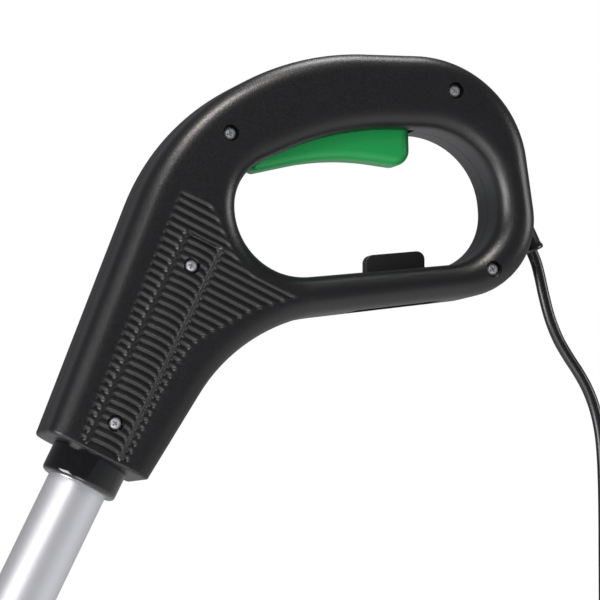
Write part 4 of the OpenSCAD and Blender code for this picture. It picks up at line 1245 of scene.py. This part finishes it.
@dataclass
class CordSet:
    """The boot, the cord and its plug."""

    mouth: tuple[float, float, float] = (77.6, 0.0, -66.55)
    boot_turn: float = 156.5
    cord_r: float = 2.5
    route: tuple[tuple[float, float], ...] = (
        (77.6, -66.6), (79.6, -71.5), (81.2, -77.5), (83.1, -86), (85.7, -95.5), (89.4, -104.5), (94, -112.2),
        (98.6, -119), (102.6, -126), (105.8, -134), (108, -143), (109.2, -153), (109.8, -166), (110, -182))
    fall_from: float = -200.0
    fall_to: float = -400.0
    fall_step: float = 20.0
    neck_h: float = 22.0
    body_h: float = 34.0
    pitch: float = 19.0

    def path(self) -> list[Vector]:
        """The cord's centreline in millimetres."""
        falls = [(self.route[-1][0], float(z))
                 for z in np.arange(self.fall_from, self.fall_to - 1, -self.fall_step)]
        return [Vector((x, 0, z)) for x, z in (*self.route, *falls)]

    def plug(self) -> bpy.types.Object:
        """Makes the moulded plug with a ribbed neck, hanging down from the cord's end."""
        frame = Matrix.Translation(self.path()[-1]) @ HALF_TURN
        profile = [(self.cord_r + 0.1, 0.0), (self.cord_r + 0.9, 0.1)]
        for k in range(6):
            z, r = 0.8 + k * 3.4, self.cord_r + 1.2 + 0.28 * k
            profile += [(r - 0.7, z), (r - 0.1, z + 0.25), (r, z + 0.6), (r, z + 1.8), (r - 0.1, z + 2.15),
                        (r - 0.7, z + 2.4)]
        half, low, top = self.pitch / 2, self.neck_h, self.neck_h + self.body_h
        profile += [(5.4, low - 0.6), (8.2, low - 0.1), (11.4, low + 1.6), (14.2, low + 4.2),
                    (half + 6.6, low + 7.2),
                    (half + 7.6, top - 5), (half + 7.9, top - 2.4), (half + 7.7, top - 0.7),
                    (half + 6.8, top),
                    (0.1, top), (0.1, 0.0)]
        return lathe("plug_moulding", profile, frame, 72)

    def build(self) -> None:
        r = self.cord_r
        rim = [(r + 0.1, -21), (r + 0.1, -4), (r + 0.25, -3.2), (r + 0.7, -1.9), (r + 1.2, -0.8),
               (r + 1.6, -0.2),
               (r + 2.1, 0.05), (r + 2.6, -0.05), (r + 2.95, -0.4), (r + 3.1, -1.0), (r + 3.05, -1.6),
               (r + 2.75, -2.2),
               (r + 2.6, -2.9), (r + 2.5, -8), (r + 1.75, -21)]
        boot = lathe("cord_boot_moulding", rim, tilted(self.mouth, self.boot_turn), 64)
        dress(boot, SHEATH, "frame", "cord_boot")
        plug = dress(self.plug(), SHEATH, "frame", "plug_body")
        path = self.path()
        cord = tube_along("power_cord_run", path, r, 24, 5)
        dress(cord, SHEATH, "frame", "power_cord")


@dataclass
class FrontHandle:
    """The shaft tube, and the front handle with its clamp, loop, grip sleeve and knob."""

    tube_r: float = 13.0
    tube_wall: float = 1.2
    tube_ends: tuple[float, float] = (-667.0, 55.0)
    clamp_s: float = -240.0
    ear_x: float = -30.0
    loop_x: float = -142.0
    loop_half: float = 58.0
    bend: float = 26.0
    bar_r: float = 7.5
    lug_r: float = 11.0
    lug_y: tuple[float, float] = (8.4, 14.4)
    sleeve_r: float = 10.7
    sleeve_half: float = 29.0
    rib_step: float = 3.4

    def frame(self, s: float = 0.0) -> Matrix:
        """The tube's frame, moved a distance along it."""
        return tilted((-118.0, 0, -157.85), LEAN) @ Matrix.Translation((0, 0, s))

    def bar_frame(self) -> Matrix:
        """The frame of the straight bar that the hand holds, its axis along Z."""
        return self.frame(self.clamp_s) @ Matrix.Translation((self.loop_x, 0, 0)) @ QUARTER_TURN

    def loop_path(self) -> list[Vector]:
        """The loop's centreline from the right lug to the left one, in the tube's frame."""
        lug = sum(self.lug_y) / 2
        side = [(self.ear_x - 3, lug), (self.ear_x - 16, lug + 2), (self.ear_x - 30, lug + 18),
                (self.ear_x - 44, self.loop_half - 8), (self.ear_x - 56, self.loop_half)]
        for k in range(7):
            a = math.radians(15 * k)
            side.append((self.loop_x + self.bend * (1 - math.sin(a)),
                         self.loop_half - self.bend * (1 - math.cos(a))))
        half = [Vector((x, y, 0)) for x, y in side]
        return half + [Vector((p.x, -p.y, 0)) for p in reversed(half)]

    def loop(self) -> bpy.types.Object:
        """Makes the loop's bar and its two lugs as one piece."""
        place = self.frame(self.clamp_s)
        bar = tube_along("front_loop", [place @ p for p in self.loop_path()], self.bar_r, 28, 4)
        inner, outer = self.lug_y
        axis = place @ Matrix.Translation((self.ear_x, 0, 0)) @ QUARTER_TURN
        for low, high in ((inner, outer), (-outer, -inner)):
            lug = lathe("lug", [(0.05, low), (self.lug_r, low), (self.lug_r, high), (0.05, high)], axis, 56)
            bar = boolean(bar, lug, "UNION")
        bar = boolean(bar, box_piece("gap", (self.ear_x - 20, -inner, -20), (self.ear_x + 20, inner, 20),
                                     place))
        for low, high in ((outer, outer + 40), (-outer - 40, -outer)):
            seat = lathe("seat", [(0.05, low), (17.6, low), (17.6, high), (0.05, high)], axis, 56)
            bar = boolean(bar, seat)
        return bevelled(bar, 0.5, 2, 50.0)

    def sleeve(self) -> bpy.types.Object:
        """Makes the soft sleeve's core with rounded ends; its ribs are added by the repeat."""
        r, h = self.sleeve_r, self.sleeve_half
        core = [(self.bar_r + 0.05, -h), (r - 0.9, -h), (r - 0.2, -h + 0.4), (r, -h + 1.2), (r, -h + 3.4),
                (r - 0.9, -h + 4),
                (r - 0.9, h - 4), (r, h - 3.4), (r, h - 1.2), (r - 0.2, h - 0.4), (r - 0.9, h),
                (self.bar_r + 0.05, h)]
        return lathe("front_grip_sleeve", core, self.bar_frame(), 64)

    def ribs(self) -> bpy.types.Object:
        """Makes the sleeve's round ribs by repeating one."""
        r = self.sleeve_r
        ring = [(r - 1.2, -1.2), (r - 0.5, -1.1), (r - 0.12, -0.7), (r, 0.0), (r - 0.12, 0.7), (r - 0.5, 1.1),
                (r - 1.2, 1.2)]
        unit = lathe("rib_unit", ring, Matrix.Identity(4), 64)
        place = self.bar_frame()
        count = int((2 * self.sleeve_half - 11) / self.rib_step) + 1
        heights = [(k - (count - 1) / 2) * self.rib_step for k in range(count)]
        return repeated("front_grip_ribs", unit, [place @ Matrix.Translation((0, 0, h)) for h in heights],
                        GRIP)

    def build(self) -> None:
        """Makes the tube and the front handle."""
        low, high = self.tube_ends
        r, inner = self.tube_r, self.tube_r - self.tube_wall
        ring = [(inner, low), (r - 0.2, low), (r, low + 0.2), (r, high - 0.2), (r - 0.2, high), (inner, high)]
        dress(lathe("shaft_tube_drawn", ring, self.frame(), 96), TUBE, "frame", "shaft_tube")
        dress(refined("aux_clamp", 0.7, 2), HANDLE, "frame", "aux_clamp")
        dress(self.loop(), HANDLE, "front_handle", "aux_handle")
        dress(self.sleeve(), GRIP, "front_handle", "aux_grip")
        dress(self.ribs(), GRIP, "front_handle")
        dress(refined("aux_knob", 1.2, 3), TRIGGER, "front_handle_knob", "aux_knob")


@dataclass
class CuttingHead:
    """The motor housing, the guard and the line head."""

    motor: tuple[float, float] = (-424.86, -787.006)
    guard_bolts: tuple[float, ...] = (30.0, 150.0, 210.0, 330.0)
    guard_bolt_r: float = 37.0
    line_r: float = 0.7
    line_ends: tuple[float, float] = (41.2, 125.0)
    line_z: float = -137.0
    line_drop: float = 2.5

    def frame(self) -> Matrix:
        """The motor's frame, its axis along Z."""
        return Matrix.Translation((self.motor[0], 0, self.motor[1]))

    def line_path(self, side: int) -> list[Vector]:
        """The free line's centreline on one side, in millimetres."""
        near, far = self.line_ends
        steps = [k / 8 for k in range(9)]
        return [self.frame() @ Vector((0, side * (near + (far - near) * t),
                                       self.line_z - self.line_drop * t * t)) for t in steps]

    def lines(self) -> None:
        for side, node in ((-1, "cutting_line_left"), (1, "cutting_line_right")):
            path = self.line_path(side)
            line = tube_along(node + "_run", path, self.line_r, 12, 3)
            dress(line, LINE, "rotor", node)

    def wound(self) -> None:
        """Makes the spool's wound line by repeating one turn over a plain core."""
        low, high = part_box("wound_line")
        outer = (high[0] - low[0]) / 2 / MM
        floor, top = low[2] / MM - self.motor[1], high[2] / MM - self.motor[1]
        r = self.line_r
        core = lathe("wound_line_core", [(outer - 9, floor), (outer - r, floor), (outer - r, top),
                                         (outer - 9, top)], self.frame(), 64)
        dress(core, LINE, "line_spool", "wound_line")
        turn = [(outer - r + r * math.cos(a), r * math.sin(a))
                for a in np.arange(0, 2 * math.pi + 0.01, math.pi / 5)]
        unit = lathe("turn_unit", turn, Matrix.Identity(4), 72)
        count = int((top - floor) / (2 * r))
        places = [self.frame() @ Matrix.Translation((0, 0, floor + r + 2 * r * k)) for k in range(count)]
        dress(repeated("wound_line_turns", unit, places, LINE), LINE, "line_spool")

    def screws(self) -> None:
        """Makes the guard's screws; the housing's keep their CAD shape."""
        low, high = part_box("guard_screws")
        seat = low[2] / MM + 1.5
        reach = high[2] / MM - seat
        seats = [Vector((self.motor[0] + self.guard_bolt_r * math.cos(math.radians(a)),
                         self.guard_bolt_r * math.sin(math.radians(a)), seat)) for a in self.guard_bolts]
        unit = screw_unit(head_r=2.8, head_h=1.5, shank_r=1.6, length=reach)
        screws = repeated("guard_screw_set", unit, facing(seats, HALF_TURN, (10, 35, 62, 80)), ZINC)
        dress(screws, ZINC, "frame", "guard_screws")

    def build(self) -> None:
        """Makes the head's pieces."""
        for node in ("head_shell_left", "head_shell_right"):
            dress(refined(node, 0.5, 2), TRIGGER, "frame", node)
        for node, width in (("guard", 0.9), ("spool_housing", 0.8), ("spool_cap", 0.8)):
            dress(refined(node, width, 2), HANDLE, "frame" if node == "guard" else "rotor", node)
        dress(refined("tap_button", 0.8, 2), TRIGGER, "tap_button", "tap_button")
        dress(refined("motor_plate", 0.4, 2), CASTING, "frame", "motor_plate")
        dress(refined("line_cutter", 0.25, 2), BLADE, "frame", "line_cutter")
        self.screws()
        self.wound()


def dress_nodes() -> None:
    """Gives each CAD node that stays in view its material."""
    for node, finish in {**NODE_FINISH, "head_screws": ZINC}.items():
        shape = FRAME["nodes"][node]
        for slot in shape.material_slots:
            slot.material = finish.material()
        if not shape.material_slots:
            shape.data.materials.append(finish.material())


# ---- camera and light ----

@dataclass
class Studio:
    """The camera, the lights and the pale floor."""

    back: tuple[float, float] = (-14.0, -4.0)
    target: tuple[float, float, float] = (-0.0266, 0.0, -0.0894)
    away: float = 1.8
    wide: float = 0.2578
    shine_light: float = 0.17
    soft_light: float = 0.4
    floor_half: float = 20.0
    floor_gap: float = 0.5
    floor_glow: float = 0.55

    def camera(self) -> None:
        """Points the camera at the rear handle."""
        a, e = (math.radians(x) for x in self.back)
        back = Vector((math.sin(a) * math.cos(e), -math.cos(a) * math.cos(e), math.sin(e)))
        lens = bpy.data.cameras.new("camera")
        lens.angle = 2 * math.atan(self.wide / 2 / self.away)
        camera = bpy.data.objects.new("camera", lens)
        camera.location = Vector(self.target) + self.away * back
        camera.rotation_euler = (-back).to_track_quat("-Z", "Y").to_euler()
        lens.clip_start, lens.clip_end = 0.05, 50.0
        bpy.context.scene.collection.objects.link(camera)
        bpy.context.scene.camera = camera

    def light(self, name: str, place: Sequence[float], size: float, power: float,
              colour: str = "#ffffff") -> None:
        """Adds a square area light that faces the rear handle.

        Args:
            name: the light's name.
            place: its middle in metres.
            size: its side in metres.
            power: its power in watts.
            colour: its sRGB colour.
        """
        lamp = bpy.data.lights.new(name, "AREA")
        lamp.size, lamp.energy = size, power
        lamp.color = linear(colour)[:3]
        made = bpy.data.objects.new(name, lamp)
        made.location = place
        made.rotation_euler = (Vector(self.target) - Vector(place)).to_track_quat("-Z", "Y").to_euler()
        bpy.context.scene.collection.objects.link(made)

    def world(self) -> None:
        """Makes a backdrop that the camera sees as white and that lights the object softly."""
        world = bpy.data.worlds.new("studio")
        bpy.context.scene.world = world
        world.use_nodes = True
        tree = world.node_tree
        tree.nodes.clear()
        seen = tree.nodes.new("ShaderNodeBackground")
        soft = tree.nodes.new("ShaderNodeBackground")
        seen.inputs["Color"].default_value = linear("#ffffff")
        soft.inputs["Color"].default_value = linear("#f4f6fa")
        path, mix, out = (tree.nodes.new(k)
                          for k in ("ShaderNodeLightPath", "ShaderNodeMixShader", "ShaderNodeOutputWorld"))
        power = add_node(tree, "ShaderNodeMapRange",
                         {"in:To Min": self.shine_light, "in:To Max": self.soft_light},
                         {"Value": path.outputs["Is Diffuse Ray"]})
        tree.links.new(power.outputs[0], soft.inputs["Strength"])
        tree.links.new(path.outputs["Is Camera Ray"], mix.inputs[0])
        tree.links.new(soft.outputs[0], mix.inputs[1])
        tree.links.new(seen.outputs[0], mix.inputs[2])
        tree.links.new(mix.outputs[0], out.inputs["Surface"])

    def floor(self) -> None:
        """Lays a plain pale floor under the object, which the camera sees as nearly white."""
        half, low = self.floor_half / MM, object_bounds()[0][2] / MM - self.floor_gap
        floor = from_faces("floor",
                           [(-half, -half, low), (half, -half, low), (half, half, low), (-half, half, low)],
                           [(0, 1, 2, 3)])
        paper = FLOOR.material()
        tree = paper.node_tree
        shader = next(node for node in tree.nodes if node.type == "BSDF_PRINCIPLED")
        path = tree.nodes.new("ShaderNodeLightPath")
        glow = add_node(tree, "ShaderNodeMapRange", {"in:To Max": self.floor_glow},
                        {"Value": path.outputs["Is Camera Ray"]})
        shader.inputs["Emission Color"].default_value = linear("#ffffff")
        tree.links.new(glow.outputs[0], shader.inputs["Emission Strength"])
        floor.data.materials.append(paper)
        floor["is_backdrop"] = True

    def build(self) -> None:
        """Makes the studio."""
        self.camera()
        self.world()
        self.light("key", (-0.5, -0.6, 1.0), 0.35, 15.0, "#fffaf2")
        self.light("left", (-1.35, -0.55, -0.25), 0.8, 22.0)
        self.light("front", (-0.75, -1.45, 0.85), 0.4, 5.0)
        self.light("right", (1.3, -0.35, 0.1), 0.6, 7.0)
        self.light("top", (0.1, 0.15, 1.1), 0.5, 9.0)
        self.light("low", (-0.6, -0.9, -0.75), 0.5, 3.0)
        bpy.context.scene.view_settings.view_transform = "Standard"
        self.floor()


def main() -> None:
    """Builds the trimmer and its studio."""
    logging.basicConfig(level=logging.INFO, format="%(name)s: %(message)s")
    FRAME.update(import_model())
    Studio().build()
    cords, head, handle = CordSet(), CuttingHead(), RearHandle()
    cords.build()
    head.lines()
    handle.build()
    HandleFixings(handle).build()
    FrontHandle().build()
    head.build()
    dress_nodes()


if __name__ == "__main__":
    main()
